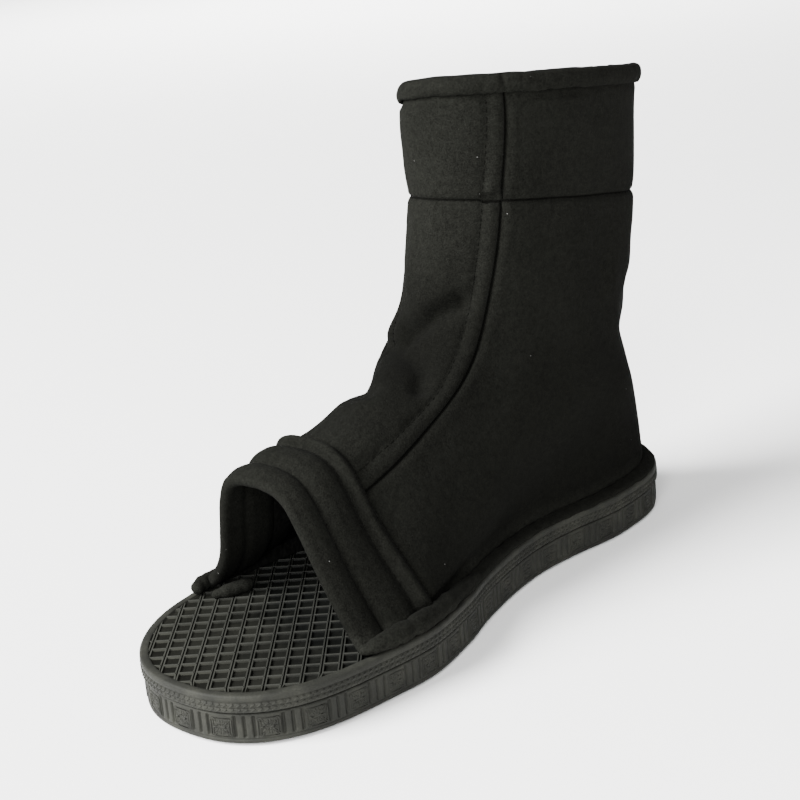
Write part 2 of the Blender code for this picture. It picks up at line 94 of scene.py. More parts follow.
# Sole: driving sizes, with the share of the length that the rounding of each end takes
SOLE_LENGTH = 290.0
TREAD_Z = 1.0
PARTING_Z = 13.2
FOOTBED_Z = 20.8
HEEL_ROUND = 0.15
TOE_ROUND = 0.21
END_POWER = 2.35
OUTLINE_POINTS = 240
# Outline of the sole: share of the length from the heel, centre line, half width
OUTLINE = (
    (0.00, 0.0, 29.7),
    (0.10, 0.2, 34.6),
    (0.20, 0.4, 36.2),
    (0.30, -3.0, 35.6),
    (0.38, -5.5, 36.5),
    (0.46, -6.2, 39.8),
    (0.54, -5.8, 44.6),
    (0.62, -4.3, 50.5),
    (0.72, -3.2, 54.6),
    (0.82, -3.1, 51.6),
    (1.00, 0.5, 47.8),
)
# Outsole wall: distance out from the outline, height, share of the grooves' depth
OUTSOLE_WALL = (
    (-2.4, TREAD_Z, 0.0),
    (-0.9, TREAD_Z + 0.1, 0.0),
    (-0.2, TREAD_Z + 0.6, 0.0),
    (0.0, TREAD_Z + 1.5, 0.0),
    (-0.1, TREAD_Z + 1.9, 0.0),
    (-0.4, TREAD_Z + 2.1, 0.0),
    (-0.1, TREAD_Z + 2.4, 0.0),
    (0.0, TREAD_Z + 2.8, 0.2),
    (0.0, TREAD_Z + 3.3, 1.0),
    (0.0, TREAD_Z + 5.5, 1.0),
    (0.0, PARTING_Z - 3.4, 1.0),
    (0.0, PARTING_Z - 1.3, 1.0),
    (0.0, PARTING_Z - 0.8, 0.2),
    (-0.1, PARTING_Z - 0.4, 0.0),
    (-0.5, PARTING_Z - 0.1, 0.0),
    (-1.6, PARTING_Z, 0.0),
)
# Wall: distance between its points, groups of grooves, grooves of a group, half a groove's width
WALL_STEP = 0.26
GROUP_PITCH = 18.0
GROOVE_PITCH = 3.6
GROOVE_HALF = 0.55
# Waist of the inner side, where the grooves are moulded shallow: middle x, reach, share left
WAIST = (-28.0, 34.0, 0.45)
# Figure between two groups: height of its middle, depth in the wall, radius of its bead
FIGURE_Z = 7.7
FIGURE_SINK = 0.1
FIGURE_BEAD = 0.9
# Ridges of the figure: length, width, share of its height, distance from its middle
FIGURE_LEAF = (2.0, 0.9, 1.0, 1.9)
FIGURE_SIDE = (6.6, 0.55, 0.8, 3.6)
FIGURE_CORNER = (1.4, 0.7, 0.8, 4.1)
# Tread bars: first share of the length, last share, number of bars
TREAD = ((0.06, 0.31, 7), (0.52, 0.93, 11))
TREAD_WIDTH = 5.0
TREAD_INSET = 3.0
TREAD_ROUND = 0.3
# How far the bars reach up into the outsole
TREAD_SINK = 0.5
# Slope of a moulded ridge's ends, in heights of the ridge
RIDGE_SLOPE = 0.45
# Footbed slab from its underside round the rim to the bed: distance out from the outline, height
SLAB_EDGE = (
    (-3.0, PARTING_Z + GAP),
    (-0.9, PARTING_Z + GAP),
    (0.3, PARTING_Z + 0.6),
    (0.8, PARTING_Z + 1.1),
    (0.8, PARTING_Z + 2.5),
    (0.45, PARTING_Z + 2.8),
    (0.8, PARTING_Z + 3.1),
    (0.8, PARTING_Z + 4.3),
    (0.35, PARTING_Z + 4.7),
    (0.75, PARTING_Z + 5.1),
    (0.9, PARTING_Z + 5.8),
    (0.8, FOOTBED_Z - 0.8),
    (0.45, FOOTBED_Z - 0.25),
    (-0.2, FOOTBED_Z - 0.03),
    (-1.4, FOOTBED_Z),
    (-2.5, FOOTBED_Z - 0.05),
    (-2.7, FOOTBED_Z - 0.2),
    (-2.8, FOOTBED_Z - 1.1),
)
SLAB_POINTS = 560
# Bed inside the rim: distance in from the outline, height
BED_INSET = 2.8
BED_Z = FOOTBED_Z - 1.1
# How far past the rim's inner edge cells may start, and how far under the rim they reach
WAFFLE_OVER = 4.0
WAFFLE_EDGE = 1.2
# From the middle of a groove between two strips to a strip's rail
WAFFLE_GROOVE = 0.55
# Width and taper of a bar, its reach past the two rails
WAFFLE_BAR = (1.0, 0.4, 0.6)
# Width and taper of a rail, its share of a bar's height
WAFFLE_RAIL = (0.8, 0.35, 0.85)
# Side of the square that the grid of cells fills, in lengths of the sole
WAFFLE_REACH = 1.3
# Height, in metres, from which cells are dropped onto the bed
WAFFLE_DROP = 1.0
# Rope lines of the slab's side: height of the strands, distance out, slant sign
ROPES = ((PARTING_Z + 1.8, 0.8, 1), (PARTING_Z + 3.7, 0.8, -1))
# Strand of a rope line: length, width and height, turn from the line, depth in the slab
STRAND = (2.3, 0.8, 0.32)
STRAND_TURN = math.radians(32)
STRAND_SINK = 0.08

# Upper: its surface as rings from the collar down to the instep
# Ring: front x, front z, back x, back z, inner half width, outer half width, roundness, rise of
# the inner over the outer side, share of the seam and of the rib that runs to the toe opening's foot
RINGS = (
    (-15.0, 214.0, -143.5, 199.5, 41.5, 27.0, 2.10, 5.0, 0.207, 0.36),
    (-13.5, 204.0, -142.0, 190.0, 41.0, 27.5, 2.10, 4.0, 0.220, 0.36),
    (-13.0, 166.5, -139.0, 147.0, 39.5, 30.0, 2.10, 1.0, 0.200, 0.34),
    (-9.0, 134.0, -134.5, 118.0, 38.5, 33.5, 2.05, 0.0, 0.182, 0.31),
    (0.0, 109.0, -128.0, 87.5, 37.0, 35.0, 2.00, 0.0, 0.166, 0.29),
    (26.0, 97.5, -137.5, 58.5, 39.0, 36.0, 2.00, 0.0, 0.166, 0.27),
)
# Lines that end the upper: top of the arch (x, y, z), inner and outer foot as shares of the
# sole's length, height of the foot, distance in from the sole's outline, share of the seam
BAND_LINE = ((58.0, -3.0, 86.5), 0.685, 0.655, 29.0, 6.0, 0.105)
EDGE_LINE = ((89.0, -6.0, 78.5), 0.815, 0.775, FOOTBED_Z - 1.5, 4.5, 0.095)
# Flare of the opening's outer foot: share of the sole's length where it begins, distance out
EAR_FROM = 0.70
EAR_FLARE = 8.5
# Arch of the toe opening: share across from the top to the foot, share of the rise left
ARCH_INNER = (
    (0.00, 1.000),
    (0.15, 0.975),
    (0.28, 0.910),
    (0.42, 0.740),
    (0.56, 0.530),
    (0.70, 0.340),
    (0.87, 0.140),
    (1.00, 0.000),
)
ARCH_OUTER = (
    (0.00, 1.000),
    (0.18, 0.995),
    (0.33, 0.950),
    (0.44, 0.800),
    (0.53, 0.560),
    (0.62, 0.330),
    (0.78, 0.140),
    (1.00, 0.000),
)
ARCH_POINTS = 60
RING_POINTS = 160
# Half width of the zip's slit, and the height at which cloth sits on the footbed
SLIT_HALF = 5.0
SEAT_Z = FOOTBED_Z - 0.3
# Columns of half the surface: front centre, stitch line, seam, toe foot, slit, back centre
COLUMNS = (26, 10, 34, 62, 4)
STITCH_COLUMN = COLUMNS[0]
SEAM_COLUMN = sum(COLUMNS[:2])
FOOT_COLUMN = sum(COLUMNS[:3])
SLIT_COLUMN = sum(COLUMNS[:4])
BACK_COLUMN = sum(COLUMNS)
# Rows of each stretch: collar, hem, cuff seam, ankle, throat, instep, band line, edge
ROWS = (8, 30, 26, 24, 22, 26, 26)
# How much rows crowd together at their lines, and columns at the seam
ROW_CLUSTER = 0.7
SEAM_CLUSTER = 1.4
HEM_ROW = ROWS[0]
CUFF_ROW = sum(ROWS[:2])
INSTEP_ROW = sum(ROWS[:5])
BAND_ROW = sum(ROWS[:6])
EDGE_ROW = sum(ROWS)
# Easing of the fold at the toe opening's foot: steps, share of the way, reach in columns, rows of
# its fade towards the band line and down from the cuff
EASE_STEPS = 160
EASE_SHARE = 0.5
EASE_COLUMNS = 16.0
EASE_ROWS = (14, 40)

# Soft swells of the cloth: points on it (x, y, z), half width, height; a hollow is under zero
SWELLS = (
    (((-11, -20, 107.5), (-9, -21, 104)), 10.0, 3.1),
    (((12, -21, 93.5), (21, -13, 96), (26, -6, 96.8)), 6.5, -5.0),
    (((-12, 15, 124.5), (-6.5, 6.2, 120), (-4, 1, 116.3), (-3.5, -4, 113.4), (-5, -9, 111.2)), 4.2, -5.8),
    (((-6, -19, 103.5), (-1.5, -10, 106.5), (4.5, 2, 106.3), (8.4, 10, 103.3), (15, 15, 99)), 4.4, -3.2),
    (((-3.2, 7, 115), (-1.6, 1, 111.6), (-1, -5, 108.8)), 3.0, 1.3),
    (((2, -25, 93), (6, -25.5, 88)), 6.0, -2.2),
    (((-26, -18.5, 188), (-25, -18.5, 180)), 12.0, 1.8),
    (((-116, 30, 126), (-113, 29.5, 113)), 9.0, -1.6),
    (((-24.8, 23.7, 166), (-27, 25.8, 166)), 1.9, -1.8),
    (((-24.3, 23.4, 167.3), (-26.8, 25.5, 170.5)), 1.1, 0.75),
    (((-24, 23.4, 164.5), (-25.2, 24.6, 161.3)), 1.1, 0.7),
)
# Middle of the painted shade in the bend at the ankle's front, in metres
THROAT_SHADE_AT = (0.008, -0.003, 0.105)
# Name of the upper's distance to the nearer of its two seams, and its value on a seam
SEAM_ATTRIBUTE = "across_seam"
SEAM_ZERO = 50.0
# Creases of the cloth, with lips along both sides: points on it, half width, depth
CREASES = (
    (((-14, 12, 140), (-9, 0, 134), (-10, -12, 130)), 11.0, -1.6),
    (((-16.5, 14.5, 154), (-11.5, 6, 150)), 4.0, 0.8),
    (((-13, -4, 160), (-10, -7, 142), (-8.5, -8, 126)), 3.0, -0.7),
    (((-49, 35, 156), (-39, 34, 130), (-43, 35, 102)), 13.0, 1.0),
    (((-83, 37.5, 133), (-78, 37.5, 112), (-92, 33, 94)), 7.0, 1.2),
    (((-92, 37, 136), (-89, 36.5, 112), (-103, 29, 91)), 5.0, -1.0),
    (((41, -8, 91), (38, 8, 91), (36, 17, 85)), 5.0, 1.2),
    (((-132, 8, 96), (-124, 22, 90), (-104, 34, 86)), 7.0, 1.5),
    (((-130, -8, 100), (-118, -24, 92), (-98, -33, 90)), 7.0, 1.6),
    (((-128, 10, 112), (-112, 30, 106)), 6.0, 1.0),
    (((-40, -33, 112), (-18, -30, 104), (6, -26, 96)), 8.0, 1.8),
    (((-52, -36, 86), (-22, -37, 74), (10, -38, 62)), 10.0, 1.3),
    (((20, -33, 76), (40, -34, 58), (54, -38, 44)), 9.0, 1.2),
    (((-90, -34, 128), (-62, -34, 120), (-36, -31, 118)), 8.0, 1.0),
)
# Lips of a crease: share of its depth, reach in reaches of the crease
CREASE_LIPS = (0.35, 2.2)
# Soft unevenness of the cloth: size of its swells, seed
SLACK_WAVES = (46.0, 5)

# Sewing: soft bumps across a line as distance from it, reach and height
# Heights are in seam steps for the seam, in pinches for the cuff, and else in millimetres
SEAM_BUMPS = ((3.4, 2.6, 0.45), (-3.4, 2.6, 0.6), (0.0, 2.4, -0.5), (0.0, 0.65, -1.9))
STITCH_BUMPS = ((0.0, 2.2, -0.5), (0.0, 0.9, -0.6))
CUFF_ABOVE = ((0.0, 0.8, -1.0), (0.0, 4.2, -0.8))
CUFF_BELOW = ((0.0, 0.8, -1.0), (0.0, 2.0, -0.8))
HEM_BUMPS = ((0.0, 1.2, -0.6),)
TUCK_BUMPS = ((0.0, 1.8, -1.0),)
# Gathers along a line of sewing: pitch, seed, bumps across the line
STITCH_GATHERS = (9.0, 3, ((0.0, 4.0, 1.0),))
CUFF_GATHERS = (6.5, 11, ((3.0, 3.0, 1.0), (-3.0, 3.0, 1.0)))
HEM_GATHERS = (5.0, 13, ((2.0, 2.5, 1.0),))
TUCK_GATHERS = (8.0, 17, ((-4.5, 4.5, 2.2),))
# A stitch's length as a share of the pitch, and its small turn to either side
STITCH_SHARE = 0.78
STITCH_WANDER = math.radians(7.0)

# Toe band: share of the band from its rear edge to the opening, height over the upper
BAND_RIBS = (
    (0.00, -0.3),
    (0.03, 1.4),
    (0.07, 3.0),
    (0.11, 3.4),
    (0.15, 2.7),
    (0.185, 1.0),
    (0.215, 0.0),
    (0.25, 0.5),
    (0.30, 1.6),
    (0.40, 2.6),
    (0.50, 2.7),
    (0.60, 2.0),
    (0.655, 0.9),
    (0.69, -0.1),
    (0.725, 0.8),
    (0.78, 1.7),
    (0.88, 2.3),
    (1.00, 1.7),
)
# Stitched grooves as shares of the band; pitch, first seed, height and reach of their gathers
BAND_GROOVES = (0.215, 0.69)
BAND_GATHERS = (7.0, 21, 0.8, 0.09)
BAND_END = 0.94
BAND_STEPS = 71
# Facing inside the band: thickness, share where it begins and length of its slope there, points across
BAND_FACING = 1.0
FACING_FROM = 0.30
FACING_SLOPE = 0.1
FACING_POINTS = 25
# Dip of the facing under the front groove: depth, reach; its gap to the wall
FACING_DIP = (0.8, 0.05)
FACING_GAP = 0.05
# Base roll: share of its height from the top, how far it stands out
ROLL_PROFILE = ((0.0, -1.7), (0.1, 1.4), (0.25, 3.2), (0.45, 4.5), (0.7, 5.0), (0.88, 4.7), (1.0, 3.8))
ROLL_STEPS = 17
# Unevenness of the roll's upper edge and of its swell: pitch, seed, height
ROLL_TOP = (6.0, 33, 0.04)
ROLL_SWELL = (9.0, 31, 0.5)
# Share of the way down to the foot where the roll begins, and the length of its rounded ends
ROLL_FROM = 0.6
ROLL_END = 4.0
ROLL_ROW = round(BAND_ROW + ROLL_FROM * (EDGE_ROW - BAND_ROW))
# Collar hem round its edge: distance out from the wall's outer face, height over the edge
HEM_ROUND = (
    (0.1, -7.0),
    (1.0, -6.9),
    (1.9, -5.8),
    (2.3, -3.8),
    (2.0, -1.5),
    (0.8, 0.3),
    (-1.2, 0.8),
    (-3.1, 0.3),
    (-4.2, -1.5),
    (-4.4, -3.8),
    (-4.0, -6.0),
    (-3.2, -6.9),
    (-2.7, -7.0),
)
HEM_STEPS = 34
HEM_DEEP = 7.2
# Unevenness of the hem: pitch and seed of its gathers; pitch, seed and height for its thickness and edge
HEM_PULL = (5.5, 41)
HEM_SWELL = (14.0, 43, 0.04)
HEM_RISE = (26.0, 47, 0.2)
# Share of the gathers on the hem's side and along its lower edge
HEM_PULL_OUT = 0.5
HEM_PULL_UP = 2.4
# Notch where the front seam passes under the hem: reach, depth
HEM_NOTCH = (1.0, 0.9)
# Where the hem lies on the wall's two faces, in the same measures
HEM_INSIDE = ((-2.75, -4.0), (-2.75, 0.2), (0.25, 0.2), (0.25, -4.0))

# Rolled cloth at the toe opening's feet: sections, points of each; pitch, seed and height of its swells
TUBE_STEPS = 40
TUBE_SIDES = 14
TUBE_SWELL = (7.0, 51, 0.08)
# Its pieces: name, path from front to back, radii along it
FOOT_ROLLS = (
    ("toe_roll",
     ((94.5, 44.0, 22.9), (88.0, 46.0, 23.6), (80.0, 47.6, 24.1), (66.0, 48.8, 24.4),
      (52.0, 47.6, 24.3), (36.0, 43.4, 23.6), (16.0, 38.0, 22.7)),
     (3.0, 3.4, 3.8, 4.0, 3.8, 3.2, 2.0)),
    ("ear_roll", ((88.0, -51.5, 23.6), (82.0, -53.0, 24.2), (70.0, -53.5, 24.6)), (2.6, 3.3, 2.4)),
    ("ear_lining", ((85.5, -44.5, 21.9), (79.0, -39.5, 23.2), (70.0, -36.0, 23.6)), (1.6, 2.9, 2.6)),
)

# Sag of the collar on the outer side: distance round from the front, reach, drop; rows it takes in
COLLAR_SAG = (-34.0, 24.0, 3.4)
SAG_ROWS = 30

# Zip: thickness of the tape; a tooth's length, width and thickness, its distance from the middle
TAPE_WALL = 0.8
TOOTH = (1.05, 2.3, 1.4)
TOOTH_ASIDE = 0.966
TOOTH_ROUND = 0.25
# Slider: thickness, width, height; share of the width at its lower end; rounding in edges
SLIDER = (3.2, 8.4, 11.0)
SLIDER_WAIST = 0.72
SLIDER_ROUND = 1.6
# Slider's bar: half length, radius; its posts: width, height, reach past the bar, into the block
BAIL_HALF = 2.7
BAR_RADIUS = 0.8
POST = (1.2, 1.8, 0.45, 1.0)
POST_ROUND = 0.3
# Pull tab: thickness, width, height; its corners' radius; rims beside and over the slot, slot's radius
PULL = (1.4, 6.5, 21.0)
PULL_CORNER = 2.4
PULL_SLOT = (1.7, 4.2, 1.4)
# Eye of the tab: bore radius, rim radius, breadth, rounding; how far under the bar the plate begins
EYE = (1.15, 2.2, 3.6, 0.3)
TAB_FROM = 1.75

# Camera of the photograph in the boot's own axes, the point it is turned to, its roll
CAMERA_AT = (504.0, 447.5, 305.0)
CAMERA_TO = (1.0, -9.5, 84.5)
CAMERA_ROLL = math.radians(-5.24)
# Side of the picture and focal length in pixels, side of the sensor in millimetres
FRAME_PIXELS = 800
FOCAL_PIXELS = 1730.0
SENSOR_WIDTH = 36.0
# Lights in metres: name, side, place, point it is turned to, spread in degrees
LIGHTS = (
    ("key", 2.4, (2.8, -1.45, 2.5), (0.0, 0.0, 0.08), 180),
    ("fill", 1.6, (2.3, 1.6, 1.5), (0.0, 0.0, 0.08), 180),
    ("back", 2.0, (-2.3, -2.1, 2.0), (-2.3, -2.1, 0.0), 100),
)


def slopes(t, y):
    """Slopes of a curve that keeps to the rows of its table without overshoot."""
    step = np.diff(t)[:, None]
    rise = np.diff(y, axis=0) / step
    m = np.zeros_like(y)
    m[0] = rise[0]
    m[-1] = rise[-1]
    before, after = rise[:-1], rise[1:]
    w1 = 2 * step[1:] + step[:-1]
    w2 = step[1:] + 2 * step[:-1]
    same = before * after > 0
    b = np.where(same, before, 1.0)
    a = np.where(same, after, 1.0)
    m[1:-1] = np.where(same, (w1 + w2) / (w1 / b + w2 / a), 0.0)
    return m


def curve(t, y, at):
    """Smooth values of table y, given at t, read at new places."""
    t = np.asarray(t, float)
    y = np.asarray(y, float)
    at = np.asarray(at, float)
    m = slopes(t, y)
    i = np.clip(np.searchsorted(t, at) - 1, 0, len(t) - 2)
    h = (t[i + 1] - t[i])[:, None]
    s = (at - t[i])[:, None] / h
    start = (1 + 2 * s) * (1 - s) ** 2 * y[i] + s * (1 - s) ** 2 * h * m[i]
    end = s * s * (3 - 2 * s) * y[i + 1] + s * s * (s - 1) * h * m[i + 1]
    return start + end


def run_length(points, axis=0):
    """Distance along a polyline, or along the lines of a grid, at each point."""
    steps = np.linalg.norm(np.diff(points, axis=axis), axis=-1)
    start = np.zeros_like(np.take(steps, [0], axis=axis))
    return np.concatenate([start, np.cumsum(steps, axis=axis)], axis=axis)


def read_line(at, run, points):
    """Points of a polyline at distances along it."""
    return np.stack([np.interp(at, run, values) for values in points.T], axis=1)


def resample(points, shares):
    """Points of a polyline at the given shares of its length."""
    run = run_length(points)
    return read_line(np.asarray(shares) * run[-1], run, points)


def read_table(table, at):
    """Smooth values of a table's second column, read at places of its first."""
    table = np.array(table)
    return curve(table[:, 0], table[:, 1:], at)[:, 0]


def unit(v):
    """Directions of length 1."""
    return v / (np.linalg.norm(v, axis=-1, keepdims=True) + TINY)


def hump(distance, reach):
    """A soft bump of height 1 at distance 0."""
    return np.exp(-((distance / reach) ** 2))


def smooth(t):
    """A soft step from 0 to 1."""
    t = np.clip(t, 0.0, 1.0)
    return t * t * (3 - 2 * t)


def ripple(run, pitch, seed, height=1.0):
    """Uneven gathers along a seam, about one height high and one pitch apart."""
    random = np.random.default_rng(seed)
    total = np.zeros_like(run)
    for stretch in (0.62, 1.0, 1.43, 2.3):
        total += np.sin(TURN * run / (pitch * stretch) + random.uniform(0, TURN))
    return height * total / 2


def waves(points, size, seed):
    """Soft unevenness over a surface, about 1 high, with swells of one size."""
    random = np.random.default_rng(seed)
    total = np.zeros(points.shape[:-1])
    for _ in range(14):
        way = unit(random.normal(size=3)) * TURN / size * random.uniform(0.6, 1.5)
        total += np.sin(points @ way + random.uniform(0, TURN))
    return total / 3


def bumps(distance, rows):
    """Height of soft bumps across a line, each with its place, reach and height."""
    return sum(height * hump(distance - at, reach) for at, reach, height in rows)


def gathers(run, distance, table):
    """Height of the gathers along a line of sewing."""
    pitch, seed, rows = table
    return ripple(run, pitch, seed) * bumps(distance, rows)


def outline_half(side):
    """Half of the sole's outline from toe to heel; side is 1 for the inner, -1 for the outer side."""
    share = (1 + np.cos(np.linspace(0, math.pi, OUTLINE_POINTS))) / 2
    table = np.array(OUTLINE)
    line = curve(table[:, 0], table[:, 1:], share)
    heel = np.clip(1 - share / HEEL_ROUND, 0, 1)
    toe = np.clip(1 - (1 - share) / TOE_ROUND, 0, 1)
    end = (1 - heel ** END_POWER) ** (1 / END_POWER) * (1 - toe ** END_POWER) ** (1 / END_POWER)
    return np.stack([(share - 0.5) * SOLE_LENGTH, line[:, 0] + side * line[:, 1] * end], axis=1)


def outline():
    """The sole's closed outline: toe, inner side, heel, outer side."""
    return np.concatenate([outline_half(1), outline_half(-1)[::-1][1:-1]])


def closed(loop):
    """A loop with its first point once more at its end."""
    return np.concatenate([loop, loop[:1]])


def outline_run(points):
    """The sole's outline as evenly spaced points, and the distance along it at each."""
    loop = closed(outline())
    shares = np.arange(points) / points
    return resample(loop, shares), shares * run_length(loop)[-1]


def directions(loop):
    """Direction along a closed loop at each of its points."""
    return unit(np.roll(loop, -1, axis=0) - np.roll(loop, 1, axis=0))


def moved_out(loop, distance):
    """A closed outline moved out by a distance, one for all points or one for each."""
    ahead = directions(loop)
    out = np.stack([ahead[:, 1], -ahead[:, 0]], axis=1)
    return loop + out * np.reshape(distance, (-1, 1))


def at_height(line, z):
    """A flat line set at one height."""
    return np.column_stack([line, np.full(len(line), z)])


def ring_half(ring, side):
    """Half of one tilted, rounded section of the shaft, from front centre to back centre."""
    front_x, front_z, back_x, back_z, inner, outer, power, lean = ring[:8]
    t = np.linspace(0, math.pi, RING_POINTS)
    u = np.sign(np.cos(t)) * np.abs(np.cos(t)) ** (2 / power)
    v = np.abs(np.sin(t)) ** (2 / power)
    x = (front_x + back_x) / 2 + (front_x - back_x) / 2 * u
    z = (front_z + back_z) / 2 + (front_z - back_z) / 2 * u + side * lean / 2 * v
    return np.stack([x, side * (inner if side > 0 else outer) * v, z], axis=1)


def end_line_half(line, side):
    """Half of a line over the toe arch and along the sole to the heel, and the arch's share of it."""
    top, inner_share, outer_share, foot_z, inset, _ = line
    loop = outline()
    ear = np.clip((loop[:, 0] / SOLE_LENGTH + 0.5 - EAR_FROM) / (outer_share - EAR_FROM + TINY), 0, 1)
    flare = EAR_FLARE * ear ** 2 * (loop[:, 1] < 0) * (outer_share > EAR_FROM)
    loop = moved_out(loop, flare - inset)
    half_way = len(loop) // 2
    half = loop[:half_way + 1] if side > 0 else np.concatenate([loop[:1], loop[:half_way - 1:-1]])
    foot_x = ((inner_share if side > 0 else outer_share) - 0.5) * SOLE_LENGTH
    foot_y = np.interp(-foot_x, -half[:, 0], half[:, 1])
    table = np.array(ARCH_INNER if side > 0 else ARCH_OUTER, float)
    run = run_length(table)
    across, rise = curve(run, table, np.linspace(0, run[-1], ARCH_POINTS)).T
    arch = np.stack([
        foot_x + (top[0] - foot_x) * rise,
        top[1] + (foot_y - top[1]) * across,
        foot_z + (top[2] - foot_z) * rise,
    ], axis=1)
    rear = half[half[:, 0] < foot_x - GAP]
    whole = np.concatenate([arch, at_height(rear, foot_z)])
    return whole, run_length(arch)[-1] / run_length(whole)[-1]


def column_shares(length, seam, foot, stitch_gap):
    """Shares of one half line where the surface's columns cross it."""
    marks = (0.0, seam - stitch_gap / length, seam, foot, 1 - SLIT_HALF / length, 1.0)
    runs = []
    for k, (a, b, n) in enumerate(zip(marks, marks[1:], COLUMNS)):
        t = np.arange(n) / n
        t = 1 - (1 - t) ** SEAM_CLUSTER if k == 1 else t
        t = t ** SEAM_CLUSTER if k == 2 else t
        runs.append(a + (b - a) * t)
    return np.concatenate([*runs, [1.0]])


def row_shares():
    """Each stretch's rows as shares of it, closer together near its two lines."""
    rows = []
    for stretch, count in enumerate(ROWS):
        t = np.arange(count) / count
        rows += [(stretch, share) for share in t - ROW_CLUSTER * np.sin(TURN * t) / TURN]
    return rows + [(len(ROWS) - 1, 1.0)]


def half_surface(side, stitch_gap):
    """Half of the cloth's outer surface: columns from front to back, rows from collar to sole."""
    halves = [(ring_half(ring, side), *ring[8:]) for ring in RINGS]
    for end in (BAND_LINE, EDGE_LINE):
        line, foot = end_line_half(end, side)
        halves.append((line, end[5], foot))
    lines = np.array([
        resample(line, column_shares(run_length(line)[-1], seam, foot, stitch_gap))
        for line, seam, foot in halves
    ])
    columns = []
    for c in range(lines.shape[1]):
        run = run_length(lines[:, c])
        at = [run[i] + f * (run[i + 1] - run[i]) for i, f in row_shares()]
        columns.append(curve(run, lines[:, c], at))
    return np.array(columns)


def joined(inner, outer):
    """Two halves of the surface as one, all columns round."""
    return np.concatenate([inner, outer[::-1][1:-1]])


def surface_normals(grid):
    """Outward normals of a closed grid of columns."""
    around = np.roll(grid, -1, axis=0) - np.roll(grid, 1, axis=0)
    return unit(np.cross(np.gradient(grid, axis=1), around))


def near_line(points, line):
    """Distance of each point from a line, and a share that fades out towards the line's two ends."""
    nearest = np.full(points.shape[:-1], np.inf)
    ends = np.zeros(nearest.shape)
    line = np.array(line, float)
    for k, (a, b) in enumerate(zip(line, line[1:])):
        t = np.clip((points - a) @ (b - a) / ((b - a) @ (b - a)), 0, 1)
        gap = np.linalg.norm(points - a - t[..., None] * (b - a), axis=-1)
        ends = np.where(gap < nearest, (k + t) / (len(line) - 1), ends)
        nearest = np.minimum(gap, nearest)
    return nearest, smooth(ends * 4 + 0.3) * smooth((1 - ends) * 4 + 0.3)


def crease_relief(points):
    """Height of the listed swells and creases at each point, under zero in a trough."""
    total = np.zeros(points.shape[:-1])
    for line, reach, height in SWELLS:
        total += height * hump(near_line(points, line)[0], reach)
    lips, wider = CREASE_LIPS
    for line, reach, depth in CREASES:
        gap, fade = near_line(points, line)
        total -= depth * fade * (hump(gap, reach) - lips * hump(gap, wider * reach))
    return total


def eased(points):
    """The surface with the fold at the toe opening's foot eased out, up to the band line."""
    columns = np.arange(len(points))
    rows = np.arange(EDGE_ROW + 1)
    feet = [hump(columns - foot, EASE_COLUMNS) for foot in (FOOT_COLUMN, len(points) - FOOT_COLUMN)]
    tall = smooth((BAND_ROW - rows) / EASE_ROWS[0]) * smooth((rows - CUFF_ROW) / EASE_ROWS[1])
    weight = (EASE_SHARE * np.maximum(*feet)[:, None] * tall)[..., None]
    for _ in range(EASE_STEPS):
        middle_of = (np.roll(points, 1, axis=0) + np.roll(points, -1, axis=0)) / 2
        points = points + weight * (middle_of - points)
    return points


